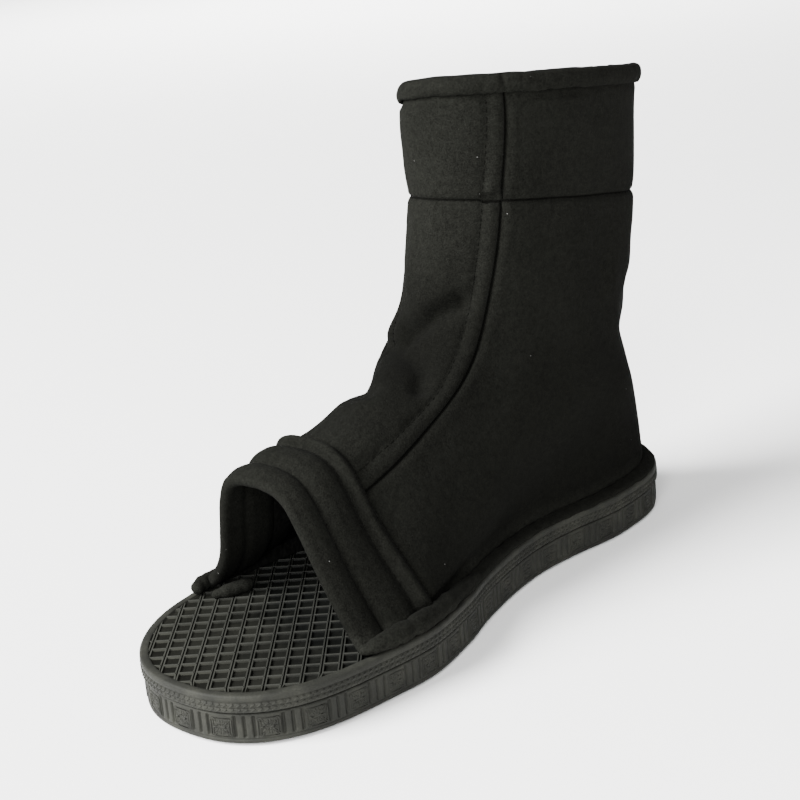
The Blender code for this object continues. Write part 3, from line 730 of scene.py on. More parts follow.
class Cloth:
    """The upper's cloth: its soft surface, normals, and distances along its rows and columns."""

    def __init__(self, cloth):
        halves = [half_surface(side, cloth.stitch_gap / MM) for side in (1, -1)]
        runs = [run_length(half) for half in halves]
        plain = eased(joined(*halves))
        lean = surface_normals(plain)
        self.wall = cloth.wall / MM
        self.around = joined(runs[0], -runs[1])
        self.behind_seam = joined(*(run - run[SEAM_COLUMN] for run in runs))
        self.down = run_length(plain, axis=1)
        rows = np.arange(EDGE_ROW + 1)
        at, reach, drop = COLLAR_SAG
        sag = drop * hump(self.around[:, :1] - at, reach) * smooth(1 - rows / SAG_ROWS)
        plain = plain - sag[..., None] * np.array([0.0, 0.0, 1.0])
        slack = cloth.slack / MM * waves(plain, *SLACK_WAVES) + cloth.crease * crease_relief(plain)
        free = smooth(rows / HEM_ROW - 0.4) * smooth((EDGE_ROW - rows) / (EDGE_ROW - BAND_ROW) + 0.15)
        self.points = plain + lean * (slack * free)[..., None]
        self.normals = surface_normals(self.points)

    def below(self, row):
        """Distance down the columns from one row."""
        return self.down - self.down[:, row:row + 1]

    def out(self, column, shares, heights):
        """Points over one column of the band, at shares of its width and heights over the cloth."""
        band = slice(BAND_ROW, EDGE_ROW + 1)
        run = self.down[column, band]
        run = (run - run[0]) / (run[-1] - run[0])
        at = np.asarray(shares, float)
        lean = unit(read_line(at, run, self.normals[column, band]))
        return read_line(at, run, self.points[column, band]) + lean * np.reshape(heights, (-1, 1))

    def relief(self, cloth):
        """Seams, pinches, gathers and stitch dips of the upper, as heights over its soft surface."""
        seam = self.behind_seam
        stitch = seam + cloth.stitch_gap / MM
        cuff = self.below(CUFF_ROW)
        hem = self.down - HEM_DEEP
        columns = np.arange(len(self.down))
        front = (np.minimum(columns, len(columns) - columns) <= FOOT_COLUMN)[:, None]
        tuck = np.where(front, self.below(BAND_ROW), self.below(ROLL_ROW))
        dips = 0.7 + 0.3 * np.cos(TURN * self.down / (cloth.stitch_pitch / MM))
        height = cloth.seam_step / MM * bumps(seam, SEAM_BUMPS) + bumps(stitch, STITCH_BUMPS) * dips
        pinch = np.where(cuff < 0, bumps(cuff, CUFF_ABOVE), bumps(cuff, CUFF_BELOW))
        height += cloth.cuff_pinch / MM * pinch + bumps(hem, HEM_BUMPS) + bumps(tuck, TUCK_BUMPS)
        gather = gathers(self.down, stitch, STITCH_GATHERS)
        for distance, table in ((cuff, CUFF_GATHERS), (hem, HEM_GATHERS), (tuck, TUCK_GATHERS)):
            gather = gather + gathers(self.around, distance, table)
        height += cloth.pucker / MM * gather
        rows = np.arange(EDGE_ROW + 1)
        last = np.where(front, BAND_ROW, ROLL_ROW + 4)
        return height * smooth((rows - HEM_ROW + 5) / 3) * smooth((last + 4 - rows) / 4)

    def sewn(self, cloth):
        """The cloth's outer face with its relief."""
        return self.points + self.normals * self.relief(cloth)[..., None]


def seated(points):
    """Points of the cloth with those under the footbed's top set down on it."""
    points = points.copy()
    points[..., 2] = np.maximum(points[..., 2], SEAT_Z)
    return points


def place(points):
    """Millimetres in the boot's own axes as metres in the frame's."""
    return (np.asarray(points, float).reshape(-1, 3) + SHIFT) * MM


def new_object(name, mesh, *finishes):
    """A mesh as a piece at the origin, with its finishes."""
    obj = bpy.data.objects.new(name, mesh)
    bpy.context.scene.collection.objects.link(obj)
    for finish in finishes:
        mesh.materials.append(finish)
    return obj


def dress(obj, body, slot, *nodes):
    """Lets a piece ride on its body and stand for its solids; slot is not used."""
    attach(obj, body)
    if nodes:
        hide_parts(*nodes)
    return obj


def mesh_of(name, points, faces, solid=True):
    """A smooth mesh in metres; a closed one has its faces turned outwards."""
    mesh = bpy.data.meshes.new(name)
    mesh.from_pydata(place(points), [], faces)
    if solid:
        bm = bmesh.new()
        bm.from_mesh(mesh)
        bmesh.ops.recalc_face_normals(bm, faces=bm.faces)
        bm.to_mesh(mesh)
        bm.free()
    mesh.shade_smooth()
    return mesh


def shell_mesh(name, outer, inner, kept, across):
    """A wall between two grids of columns, with rims where faces end and the distance to a seam."""
    columns, rows = outer.shape[:2]
    count = columns * rows
    index = np.arange(count).reshape(columns, rows)
    after = np.roll(index, -1, axis=0)
    quads = np.stack([index[:, :-1], index[:, 1:], after[:, 1:], after[:, :-1]], axis=-1)[kept]
    ahead = np.concatenate([quads[:, [k, (k + 1) % 4]] for k in range(4)])
    keys = ahead[:, 0].astype(np.int64) * count + ahead[:, 1]
    back = ahead[:, 1].astype(np.int64) * count + ahead[:, 0]
    edge = ahead[~np.isin(keys, back)]
    rims = np.stack([edge[:, 1], edge[:, 0], edge[:, 0] + count, edge[:, 1] + count], axis=1)
    faces = np.concatenate([quads, quads[:, ::-1] + count, rims])
    used, compact = np.unique(faces, return_inverse=True)
    points = np.concatenate([outer.reshape(-1, 3), inner.reshape(-1, 3)])[used]
    mesh = mesh_of(name, points, compact.reshape(faces.shape).tolist(), solid=False)
    lining = np.zeros(len(faces), np.int32)
    lining[len(quads):2 * len(quads)] = 1
    mesh.polygons.foreach_set("material_index", lining)
    values = np.tile(across.ravel() + SEAM_ZERO, 2)[used]
    mesh.attributes.new(SEAM_ATTRIBUTE, "FLOAT", "POINT").data.foreach_set("value", values)
    return mesh


def loft_mesh(name, loops, ring=False):
    """A solid through loops of equally many points: a run with two caps, or a ring of loops."""
    loops = np.array(loops)
    count, size = loops.shape[:2]
    index = np.arange(count * size).reshape(count, size)
    following = np.roll(index, -1, axis=0)
    first = index if ring else index[:-1]
    second = following if ring else following[:-1]
    turned = np.roll(first, -1, axis=1), np.roll(second, -1, axis=1)
    faces = np.stack([first, turned[0], turned[1], second], axis=-1).reshape(-1, 4).tolist()
    if not ring:
        faces += [index[0, ::-1].tolist(), index[-1].tolist()]
    return mesh_of(name, loops, faces)


def lofted(name, loops, *finishes):
    """A piece through loops, with its finishes."""
    return new_object(name, loft_mesh(name, loops), *finishes)


class Wire:
    """A node's output that takes part in sums and products."""

    def __init__(self, graph, socket):
        self.graph = graph
        self.socket = socket

    def math(self, operation, other, flipped=False):
        """The result of a sum with another wire or a number."""
        pair = (other, self) if flipped else (self, other)
        return self.graph.node("ShaderNodeMath", {"operation": operation}, dict(enumerate(pair)))

    def __add__(self, other):
        return self.math("ADD", other)

    def __sub__(self, other):
        return self.math("SUBTRACT", other)

    def __rsub__(self, other):
        return self.math("SUBTRACT", other, flipped=True)

    def __mul__(self, other):
        return self.math("MULTIPLY", other)

    def __lt__(self, other):
        return self.math("LESS_THAN", other)

    def __gt__(self, other):
        return self.math("GREATER_THAN", other)

    __radd__ = __add__
    __rmul__ = __mul__


class Graph:
    """A node tree, filled one node at a time."""

    def __init__(self, tree):
        self.tree = tree

    def node(self, kind, settings=None, sockets=None, out=0):
        """Adds a node with its settings and sockets, and gives one of its outputs."""
        node = self.tree.nodes.new(kind)
        for name, value in (settings or {}).items():
            setattr(node, name, value)
        for name, value in (sockets or {}).items():
            self.plug(node.inputs[name], value)
        return Wire(self, node.outputs[out])

    def plug(self, socket, value):
        """Links a wire to a socket, or sets the socket to a plain value."""
        if isinstance(value, Wire):
            self.tree.links.new(value.socket, socket)
        else:
            socket.default_value = value


class Finish(Graph):
    """A material whose pattern lies on the piece's own coordinates."""

    def __init__(self, name, roughness, **steady):
        self.material = bpy.data.materials.new(name)
        self.material.use_nodes = True
        super().__init__(self.material.node_tree)
        self.shader = self.tree.nodes["Principled BSDF"]
        self.at = self.node("ShaderNodeTexCoord", out="Object")
        self.set(roughness=roughness, **steady)

    def axes(self, names):
        """The piece's own coordinates along some of the axes."""
        return [self.node("ShaderNodeSeparateXYZ", None, {"Vector": self.at}, axis) for axis in names]

    def noise(self, size, detail=2.0, roughness=0.55, stretch=None):
        """Soft noise with grains of one size in metres, stretched along the axes."""
        at = self.at
        if stretch:
            at = self.node("ShaderNodeMapping", None, {"Vector": at, "Scale": stretch})
        sockets = {"Vector": at, "Scale": 1 / size, "Detail": detail, "Roughness": roughness}
        return self.node("ShaderNodeTexNoise", None, sockets)

    def spots(self, pitch):
        """Distance to the nearest of scattered spots, in pitches."""
        return self.node("ShaderNodeTexVoronoi", None, {"Vector": self.at, "Scale": 1 / pitch}, "Distance")

    def ranged(self, value, low, high):
        """A value's stretch from low to high as 0 to 1."""
        sockets = {"Value": value, "From Min": low, "From Max": high}
        return self.node("ShaderNodeMapRange", {"clamp": True}, sockets)

    def mixed(self, share, first, second):
        """Two colours mixed by a share."""
        first = first if isinstance(first, Wire) else (*first, 1.0)
        second = second if isinstance(second, Wire) else (*second, 1.0)
        return self.node("ShaderNodeMix", {"data_type": "RGBA"}, {0: share, 6: first, 7: second}, 2)

    def bump(self, height, depth, strength=1.0, under=None):
        """A normal from a height of 0 to 1 that stands for a depth in metres."""
        sockets = {"Height": height, "Distance": depth, "Strength": strength}
        if under:
            sockets["Normal"] = under
        return self.node("ShaderNodeBump", None, sockets)

    def set(self, **sockets):
        """Sets the shader's sockets to values or wires, and gives the material."""
        for name, value in sockets.items():
            name = name.replace("_", " ").title().replace("Ior", "IOR")
            self.plug(self.shader.inputs[name], value)
        return self.material


def brushed_cloth(colours):
    """Napped black cloth with stray lint; painted shade darkens it towards the bottom and the back, in the
    ankle's bend and along its seams, and painted light brightens its lowest cloth by the sole.
    """
    finish = Finish("brushed_cloth", 0.95, sheen_weight=0.003, sheen_roughness=0.6, specular_ior_level=0.004)
    fine = finish.noise(0.0007, 3.0, 0.7)
    felt = finish.noise(0.0022, 3.0, 0.6)
    lie = finish.noise(0.024, 2.0)
    x, z = finish.axes("XZ")
    span = {0: finish.at, 1: THROAT_SHADE_AT}
    bend = finish.node("ShaderNodeVectorMath", {"operation": "DISTANCE"}, span, "Value")
    across = finish.node("ShaderNodeAttribute", {"attribute_name": SEAM_ATTRIBUTE}, {}, "Fac") - SEAM_ZERO
    # Painted shade along the front and cuff seams: 1 on a seam, 0 from 0.6 mm off it
    slot = finish.ranged(across * across, 0.36, 0.06)
    shade = finish.ranged(0.6 * fine + 0.3 * felt + 0.1 * lie, 0.28, 0.74)
    # Painted shade: the cloth darker towards the bottom and the back
    shade = shade * (0.45 + 0.55 * finish.ranged(z + 0.35 * x, 0.0, 0.15))
    # Painted shade in the bend at the ankle's front, darkest at its middle
    shade = shade * (1 - 0.6 * finish.ranged(bend, 0.05, 0.015))
    # Painted light on the lowest cloth by the sole, and the painted shade along the seams
    shade = shade * (1 + 1.2 * finish.ranged(z, 0.029, 0.024)) * (1 - 0.85 * slot)
    cloth = finish.mixed(shade, colours.cloth, colours.nap)
    lint = finish.spots(0.009) < 0.026
    lint = lint * (finish.noise(0.05, 0.0) > 0.5)
    colour = finish.mixed(lint * 0.75, cloth, colours.lint)
    rough = finish.bump(felt, 0.0006, 0.5)
    normal = finish.bump(fine, 0.00035, 0.7, rough)
    return finish.set(base_color=colour, roughness=0.8 + 0.2 * fine, normal=normal)


def lining_cloth(colours):
    """Smooth black lining with a fine knit."""
    finish = Finish("lining_cloth", 0.9, specular_ior_level=0.04)
    rib = finish.noise(0.0011, 1.0, 0.5, (1.0, 1.0, 0.35))
    shade = finish.ranged(rib, 0.3, 0.7)
    colour = finish.mixed(shade, colours.lining, colours.cloth)
    return finish.set(base_color=colour, normal=finish.bump(rib, 0.0003, 0.5))


def sewing_thread(colours):
    """Black thread, a little glossier than the cloth, with its twist."""
    finish = Finish("sewing_thread", 0.8, specular_ior_level=0.01)
    twist = finish.noise(0.0005, 1.0)
    colour = finish.mixed(twist * 0.35, colours.cloth, colours.nap)
    return finish.set(base_color=colour, normal=finish.bump(twist, 0.0002, 0.6))


def moulded_rubber(colours):
    """Matte grey moulded rubber with a fine mould grain, dusty patches and rubbed marks."""
    finish = Finish("moulded_rubber", 0.6, specular_ior_level=0.07)
    grain = finish.noise(0.0006, 2.0, 0.6)
    cloud = finish.noise(0.011, 3.0, 0.6)
    scuff = finish.noise(0.006, 4.0, 0.7, (1.0, 1.0, 0.25))
    dusty = finish.ranged(cloud, 0.42, 0.72)
    colour = finish.mixed(dusty * 0.7, colours.rubber, colours.dust)
    colour = finish.mixed(finish.ranged(grain, 0.35, 0.7) * 0.35, colour, colours.rubber_dark)
    marks = finish.ranged(scuff, 0.6, 0.72)
    colour = finish.mixed(marks * 0.3, colour, colours.dust)
    return finish.set(
        base_color=colour,
        roughness=0.5 + 0.25 * cloud + 0.1 * marks,
        normal=finish.bump(grain, 0.0003, 0.45, finish.bump(scuff, 0.0005, 0.15)),
    )


def footbed_foam(colours):
    """Dark foam with a slight shine, lighter on its bars' tops from wear and a painted highlight, and dusty
    and painted lighter towards the outer toe.
    """
    finish = Finish("footbed_foam", 0.4, specular_ior_level=0.05, coat_roughness=0.25)
    grain = finish.noise(0.0009, 2.0, 0.6)
    cloud = finish.noise(0.012, 3.0, 0.6)
    x, y, z = finish.axes("XYZ")
    # Dust and painted light: the bed lighter towards the outer toe
    toe = finish.ranged(x - 0.5 * y + 0.05 * cloud, 0.105, 0.175)
    # Wear and a painted highlight: the bars' tops lighter than the pits
    rubbed = finish.ranged(z, (BED_Z + 0.4) * MM, (BED_Z + 0.95) * MM)
    dust = finish.ranged(cloud, 0.4, 0.75) * 0.06 + toe * 0.85
    colour = finish.mixed(dust, colours.footbed, colours.dust)
    colour = finish.mixed(rubbed * (0.4 + 0.5 * cloud), colour, colours.rubbed)
    return finish.set(
        base_color=colour,
        roughness=0.36 + 0.3 * toe + 0.15 * grain,
        coat_weight=0.02 * (1 - toe),
        normal=finish.bump(grain, 0.0002, 0.3),
    )


def woven_tape(colours):
    """Woven black tape of the zip."""
    finish = Finish("woven_tape", 0.8, specular_ior_level=0.08)
    wale, rib = (
        finish.node("ShaderNodeTexWave", {"bands_direction": way},
                    {"Vector": finish.at, "Scale": scale, "Distortion": bend}, "Fac")
        for way, scale, bend in (("Z", 250.0, 0.6), ("Y", 400.0, 0.4))
    )
    weave = 0.5 * wale + 0.5 * rib
    colour = finish.mixed(weave, colours.lining, colours.nap)
    return finish.set(base_color=colour, normal=finish.bump(weave, 0.0003, 0.6))


def zip_metal(colours):
    """Black painted metal with bright rubbed spots."""
    finish = Finish("zip_metal", 0.35)
    wear = finish.noise(0.0016, 4.0, 0.65)
    bare = finish.ranged(wear, 0.58, 0.7)
    colour = finish.mixed(bare * 0.6, colours.metal, colours.metal_bare)
    return finish.set(
        base_color=colour,
        metallic=0.6 + 0.4 * bare,
        roughness=0.28 + 0.25 * wear,
        normal=finish.bump(wear, 0.0002, 0.2),
    )


def pale_floor(colours):
    """Plain pale paper that the boot stands on."""
    finish = Finish("pale_floor", 0.85, specular_ior_level=0.2)
    cloud = finish.noise(0.4, 2.0)
    colour = finish.mixed(cloud, colours.floor, colours.floor_shade)
    return finish.set(base_color=colour, normal=finish.bump(cloud, 0.001, 0.02))


def new_tree(name, **inputs):
    """A geometry tree with its sockets, and its inputs as a table of wires."""
    tree = bpy.data.node_groups.new(name, "GeometryNodeTree")
    tree.interface.new_socket("Geometry", in_out="INPUT", socket_type="NodeSocketGeometry")
    for words, kind in inputs.items():
        tree.interface.new_socket(words, in_out="INPUT", socket_type=f"NodeSocket{kind}")
    tree.interface.new_socket("Geometry", in_out="OUTPUT", socket_type="NodeSocketGeometry")
    graph = Graph(tree)
    source = tree.nodes.new("NodeGroupInput")
    return graph, {socket.name: Wire(graph, socket) for socket in source.outputs if socket.name}


def end_tree(graph, given, points, turn):
    """Ends a geometry tree: its piece on points, turned, as real faces with one finish."""
    piece = graph.node("GeometryNodeObjectInfo", None, {"Object": given["Piece"]}, "Geometry")
    sockets = {"Points": points, "Instance": piece, "Rotation": turn}
    row = graph.node("GeometryNodeInstanceOnPoints", None, sockets)
    real = graph.node("GeometryNodeRealizeInstances", None, {"Geometry": row})
    faced = graph.node("GeometryNodeSetMaterial", None, {"Geometry": real, "Material": given["Finish"]})
    target = graph.tree.nodes.new("NodeGroupOutput")
    graph.plug(target.inputs["Geometry"], faced)
    return graph.tree


def row_along_line():
    """A tree that sets a piece at each pitch of a line, X along it and Z out from what carries it."""
    graph, given = new_tree("row_along_line", Piece="Object", Pitch="Float", Lift="Float",
                            Wander="Float", Seed="Int", Finish="Material")
    line = graph.node("GeometryNodeMeshToCurve", None, {"Mesh": given["Geometry"]})
    line = graph.node("GeometryNodeResampleCurve", {"mode": "LENGTH"},
                      {"Curve": line, "Length": given["Pitch"]})
    out = graph.node("GeometryNodeInputNamedAttribute", {"data_type": "FLOAT_VECTOR"}, {"Name": "out"})
    lift = graph.node("ShaderNodeVectorMath", {"operation": "SCALE"}, {0: out, "Scale": given["Lift"]})
    line = graph.node("GeometryNodeSetPosition", None, {"Geometry": line, "Offset": lift})
    ahead = graph.node("GeometryNodeInputTangent")
    turn = graph.node("FunctionNodeAxesToRotation", {"primary_axis": "X", "secondary_axis": "Z"},
                      {"Primary Axis": ahead, "Secondary Axis": out})
    swing = graph.node("FunctionNodeRandomValue", {"data_type": "FLOAT"},
                       {2: -1 * given["Wander"], 3: given["Wander"], "Seed": given["Seed"]}, 1)
    swing = graph.node("ShaderNodeCombineXYZ", None, {"Z": swing})
    swing = graph.node("FunctionNodeEulerToRotation", None, {"Euler": swing})
    turn = graph.node("FunctionNodeRotateRotation", {"rotation_space": "LOCAL"},
                      {"Rotation": turn, "Rotate By": swing})
    return end_tree(graph, given, line, turn)


def cells_over_bed():
    """A tree that fills an area with a turned grid of one cell."""
    graph, given = new_tree("cells_over_bed", Piece="Object", Reach="Float", Columns="Int",
                            Rows="Int", Turn="Float", Finish="Material")
    grid = graph.node("GeometryNodeMeshGrid", None, {
        "Size X": given["Reach"], "Size Y": given["Reach"],
        "Vertices X": given["Columns"], "Vertices Y": given["Rows"],
    })
    turn = graph.node("ShaderNodeCombineXYZ", None, {"Z": given["Turn"]})
    above = {"Geometry": grid, "Rotation": turn, "Translation": (0.0, 0.0, WAFFLE_DROP)}
    grid = graph.node("GeometryNodeTransform", None, above)
    at = graph.node("GeometryNodeInputPosition")
    ray = {"Target Geometry": given["Geometry"], "Source Position": at, "Ray Direction": (0, 0, -1),
           "Ray Length": 2 * WAFFLE_DROP}
    hit = graph.node("GeometryNodeRaycast", None, ray)
    node = hit.socket.node
    missed = graph.node("FunctionNodeBooleanMath", {"operation": "NOT"}, {0: hit})
    over = graph.node("GeometryNodeDeleteGeometry", {"domain": "POINT"},
                      {"Geometry": grid, "Selection": missed})
    over = graph.node("GeometryNodeSetPosition", None,
                      {"Geometry": over, "Position": Wire(graph, node.outputs["Hit Position"])})
    return end_tree(graph, given, over, turn)


def grown(name, piece, base, make_tree, finish, values):
    """Repeats a small piece over a base mesh by a geometry tree, and keeps the result as one mesh."""
    tree = bpy.data.node_groups.get(make_tree.__name__) or make_tree()
    values = {"Piece": piece, "Finish": finish, **values}
    obj = new_object(name, base)
    modifier = obj.modifiers.new("Repeat", "NODES")
    modifier.node_group = tree
    for item in tree.interface.items_tree:
        if item.in_out == "INPUT" and item.name in values:
            modifier[item.identifier] = values[item.name]
    evaluated = obj.evaluated_get(bpy.context.evaluated_depsgraph_get())
    mesh = bpy.data.meshes.new_from_object(evaluated)
    obj.modifiers.remove(modifier)
    obj.data = mesh
    bpy.data.meshes.remove(base)
    bpy.data.objects.remove(piece, do_unlink=True)
    mesh.shade_smooth()
    return obj


def path_mesh(lines):
    """Lines with the direction out of what carries them, as edges for a geometry tree."""
    points = np.concatenate([line for line, _ in lines])
    out = np.concatenate([lean for _, lean in lines])
    edges = []
    start = 0
    for line, _ in lines:
        edges += [(start + k, start + k + 1) for k in range(len(line) - 1)]
        start += len(line)
    mesh = bpy.data.meshes.new("path")
    mesh.from_pydata(place(points), edges, [])
    mesh.attributes.new("out", "FLOAT_VECTOR", "POINT").data.foreach_set("vector", out.ravel())
    return mesh


def rounded_edges(bm, edges, width, segments=2):
    """Rounds the edges of a shape."""
    bmesh.ops.bevel(bm, geom=list(edges), offset=width, segments=segments, affect="EDGES", profile=0.5)


def small_piece(name, bm, *finishes):
    """A shape in millimetres as a piece in metres, with its corners and faces in the same order each run."""
    bmesh.ops.scale(bm, vec=(MM, MM, MM), verts=bm.verts)
    corners = sorted(bm.verts, key=lambda v: [round(value, ORDER_DIGITS) for value in v.co])
    number = {v: k for k, v in enumerate(corners)}
    faces = []
    for face in bm.faces:
        ring = [number[v] for v in face.verts]
        first = ring.index(min(ring))
        faces.append(ring[first:] + ring[:first])
    mesh = bpy.data.meshes.new(name)
    mesh.from_pydata([v.co.copy() for v in corners], [], sorted(faces))
    bm.free()
    return new_object(name, mesh, *finishes)


def add_box(bm, size, centre, turn=0.0):
    """Adds a box in millimetres, turned about Z through its centre."""
    verts = bmesh.ops.create_cube(bm, size=1.0)["verts"]
    bmesh.ops.scale(bm, vec=size, verts=verts)
    bmesh.ops.rotate(bm, matrix=Matrix.Rotation(turn, 3, "Z"), verts=verts)
    bmesh.ops.translate(bm, vec=centre, verts=verts)
    return verts


def add_ridge(bm, length, width, height, centre=(0, 0), turn=0.0, taper=0.55):
    """Adds a ridge with sloping flanks and ends that stands on the plane Z = 0."""
    verts = add_box(bm, (length, width, height), (centre[0], centre[1], height / 2), turn)
    middle_of = Vector((centre[0], centre[1], 0))
    along = Vector((math.cos(turn), math.sin(turn), 0))
    for v in verts:
        if v.co.z > height / 2:
            arm = v.co - middle_of
            arm.z = 0
            flat = arm.dot(along) * along
            slope = min(RIDGE_SLOPE * height, flat.length / 2)
            v.co -= (arm - flat) * taper + flat.normalized() * slope


def stitch_piece(length, thick):
    """One stitch: a short thread, thickest in the middle, that sinks into the cloth at its ends."""
    bm = bmesh.new()
    bmesh.ops.create_uvsphere(bm, u_segments=6, v_segments=5, radius=0.5)
    bmesh.ops.rotate(bm, matrix=Matrix.Rotation(math.pi / 2, 3, "Y"), verts=bm.verts)
    bmesh.ops.scale(bm, vec=(length, thick, thick), verts=bm.verts)
    return small_piece("stitch_piece", bm)


def colour_property(words, default):
    """A colour with its words for the sidebar."""
    return FloatVectorProperty(name=words.capitalize(), description=f"Colour of the {words}",
                               default=default, min=0.0, max=1.0, size=3, subtype="COLOR")


def length_property(words, description, default):
    """A length in metres with its words for the sidebar."""
    return FloatProperty(name=words, description=description, default=default, min=0.0,
                         precision=5, subtype="DISTANCE", unit="LENGTH")


def power_property(words, description, default):
    """A light's power in watts with its words for the sidebar."""
    return FloatProperty(name=words, description=description, default=default, min=0.0, unit="POWER")


class BootColours(bpy.types.PropertyGroup):
    """Colours of the cloth, rubber, metal and floor."""

    cloth: colour_property("cloth between the fibres", (0.0013, 0.0013, 0.0011))
    nap: colour_property("raised nap", (0.0090, 0.0093, 0.0078))
    lint: colour_property("stray lint", (0.11, 0.11, 0.105))
    lining: colour_property("lining", (0.0050, 0.0051, 0.0046))
    rubber: colour_property("moulded rubber", (0.0116, 0.0119, 0.0101))
    rubber_dark: colour_property("rubber in its pores", (0.0062, 0.0063, 0.0054))
    dust: colour_property("dust", (0.0252, 0.0256, 0.0208))
    # Colour of the footbed bars' tops: wear and a painted highlight
    rubbed: colour_property("footbed's rubbed bars", (0.0240, 0.0246, 0.0216))
    footbed: colour_property("footbed", (0.0018, 0.0020, 0.0018))
    metal: colour_property("painted metal", (0.012, 0.012, 0.013))
    metal_bare: colour_property("rubbed metal", (0.30, 0.30, 0.31))
    floor: colour_property("floor", (0.93, 0.93, 0.92))
    floor_shade: colour_property("floor's faint clouds", (0.90, 0.90, 0.895))


class BootCloth(bpy.types.PropertyGroup):
    """Sizes of the upper's cloth and its sewing."""

    wall: length_property("Wall", "Thickness of the cloth with its backing", 2.5 * MM)
    seam_step: length_property("Seam step", "Rise of the front panel over the side panel", 0.9 * MM)
    stitch_gap: length_property("Stitch gap", "From the main seam to its topstitching", 8.0 * MM)
    stitch_pitch: length_property("Stitch pitch", "From one stitch to the next", 3.4 * MM)
    stitch_thick: length_property("Thread", "Thickness of the thread", 0.55 * MM)
    cuff_pinch: length_property("Cuff pinch", "Depth of the seam under the cuff", 0.9 * MM)
    pucker: length_property("Gathers", "Height of the gathers along a seam", 0.12 * MM)
    slack: length_property("Slack", "Height of the cloth's soft unevenness", 0.7 * MM)
    crease: FloatProperty(name="Creases", description="Share of the creases' depth", default=1.0,
                          min=0.0, max=2.0, subtype="FACTOR")


class BootSole(bpy.types.PropertyGroup):
    """Sizes of the sole's moulded detail."""

    groove: length_property("Groove depth", "Depth of the upright grooves of the wall", 1.0 * MM)
    ornament: length_property("Ornament", "Height of the figures between the grooves", 0.26 * MM)
    rope_pitch: length_property("Rope pitch", "From one strand of the rope lines to the next", 2.6 * MM)
    cell_along: length_property("Cell length", "From one waffle bar to the next", 7.15 * MM)
    cell_across: length_property("Cell width", "From one waffle channel to the next", 6.7 * MM)
    cell_height: length_property("Cell height", "Height of the waffle bars", 0.95 * MM)
    cell_turn: FloatProperty(name="Cell turn", description="Turn of the waffle from the sole's length",
                             default=math.radians(39.0), subtype="ANGLE", unit="ROTATION")


class BootZip(bpy.types.PropertyGroup):
    """Sizes of the zip's fine parts."""

    tooth_pitch: length_property("Tooth pitch", "From one pair of teeth to the next", 2.6 * MM)
    edge: length_property("Edge", "Rounding of the slider's and the pull's edges", 0.45 * MM)
    seed: IntProperty(name="Seed", description="Start of the stitches' small turns", default=7, min=0)


class BootStage(bpy.types.PropertyGroup):
    """Floor and light."""

    floor_size: length_property("Floor", "Length of the floor's side", 14.0)
    key_power: power_property("Key light", "Power of the large light", 1060.0)
    fill_power: power_property("Fill light", "Power of the light on the other side", 200.0)
    back_power: power_property("Back light", "Power of the light on the floor behind", 110.0)
    sky: FloatProperty(name="Sky", description="Strength of the even white light", default=0.45, min=0.0)


SETTINGS = (
    ("boot_colours", BootColours),
    ("boot_cloth", BootCloth),
    ("boot_sole", BootSole),
    ("boot_zip", BootZip),
    ("boot_stage", BootStage),
)


def finish_of(make, colours):
    """A finish made once and shared by the pieces that have it."""
    return bpy.data.materials.get(make.__name__) or make(colours)


class BOOT_OT_stage(bpy.types.Operator):
    """Adds the floor, the lights and the camera."""

    bl_idname = "boot.stage"
    bl_label = "Stage"

    def execute(self, context):
        scene = context.scene
        stage = scene.boot_stage
        half = stage.floor_size / 2
        corners = [(-half, -half, 0), (half, -half, 0), (half, half, 0), (-half, half, 0)]
        mesh = bpy.data.meshes.new("floor")
        mesh.from_pydata(corners, [], [(0, 1, 2, 3)])
        new_object("floor", mesh, finish_of(pale_floor, scene.boot_colours))
        sky = bpy.data.worlds.new("boot_sky")
        sky.use_nodes = True
        white = sky.node_tree.nodes["Background"].inputs
        white["Strength"].default_value = stage.sky
        white["Color"].default_value = (1.0, 1.0, 1.0, 1.0)
        scene.world = sky
        for name, size, at, to, spread in LIGHTS:
            light = bpy.data.lights.new(name, "AREA")
            light.energy = getattr(stage, f"{name}_power")
            light.size = size
            light.spread = math.radians(spread)
            obj = bpy.data.objects.new(name, light)
            obj.location = at
            obj.rotation_euler = (Vector(to) - Vector(at)).to_track_quat("-Z", "Y").to_euler()
            scene.collection.objects.link(obj)
        self.add_camera(scene)
        return {"FINISHED"}

    def add_camera(self, scene):
        """Adds the photograph's camera."""
        at = Vector(place(CAMERA_AT)[0])
        ahead = (Vector(place(CAMERA_TO)[0]) - at).normalized()
        level = ahead.cross(Vector((0, 0, 1))).normalized()
        upright = level.cross(ahead)
        right = level * math.cos(CAMERA_ROLL) + upright * math.sin(CAMERA_ROLL)
        up = upright * math.cos(CAMERA_ROLL) - level * math.sin(CAMERA_ROLL)
        camera = bpy.data.cameras.new("photo_view")
        camera.sensor_width = SENSOR_WIDTH
        camera.lens = SENSOR_WIDTH * FOCAL_PIXELS / FRAME_PIXELS
        obj = bpy.data.objects.new("photo_view", camera)
        turn = Matrix((right, up, -ahead)).transposed().to_4x4()
        obj.matrix_world = Matrix.Translation(at) @ turn
        scene.collection.objects.link(obj)
        scene.camera = obj


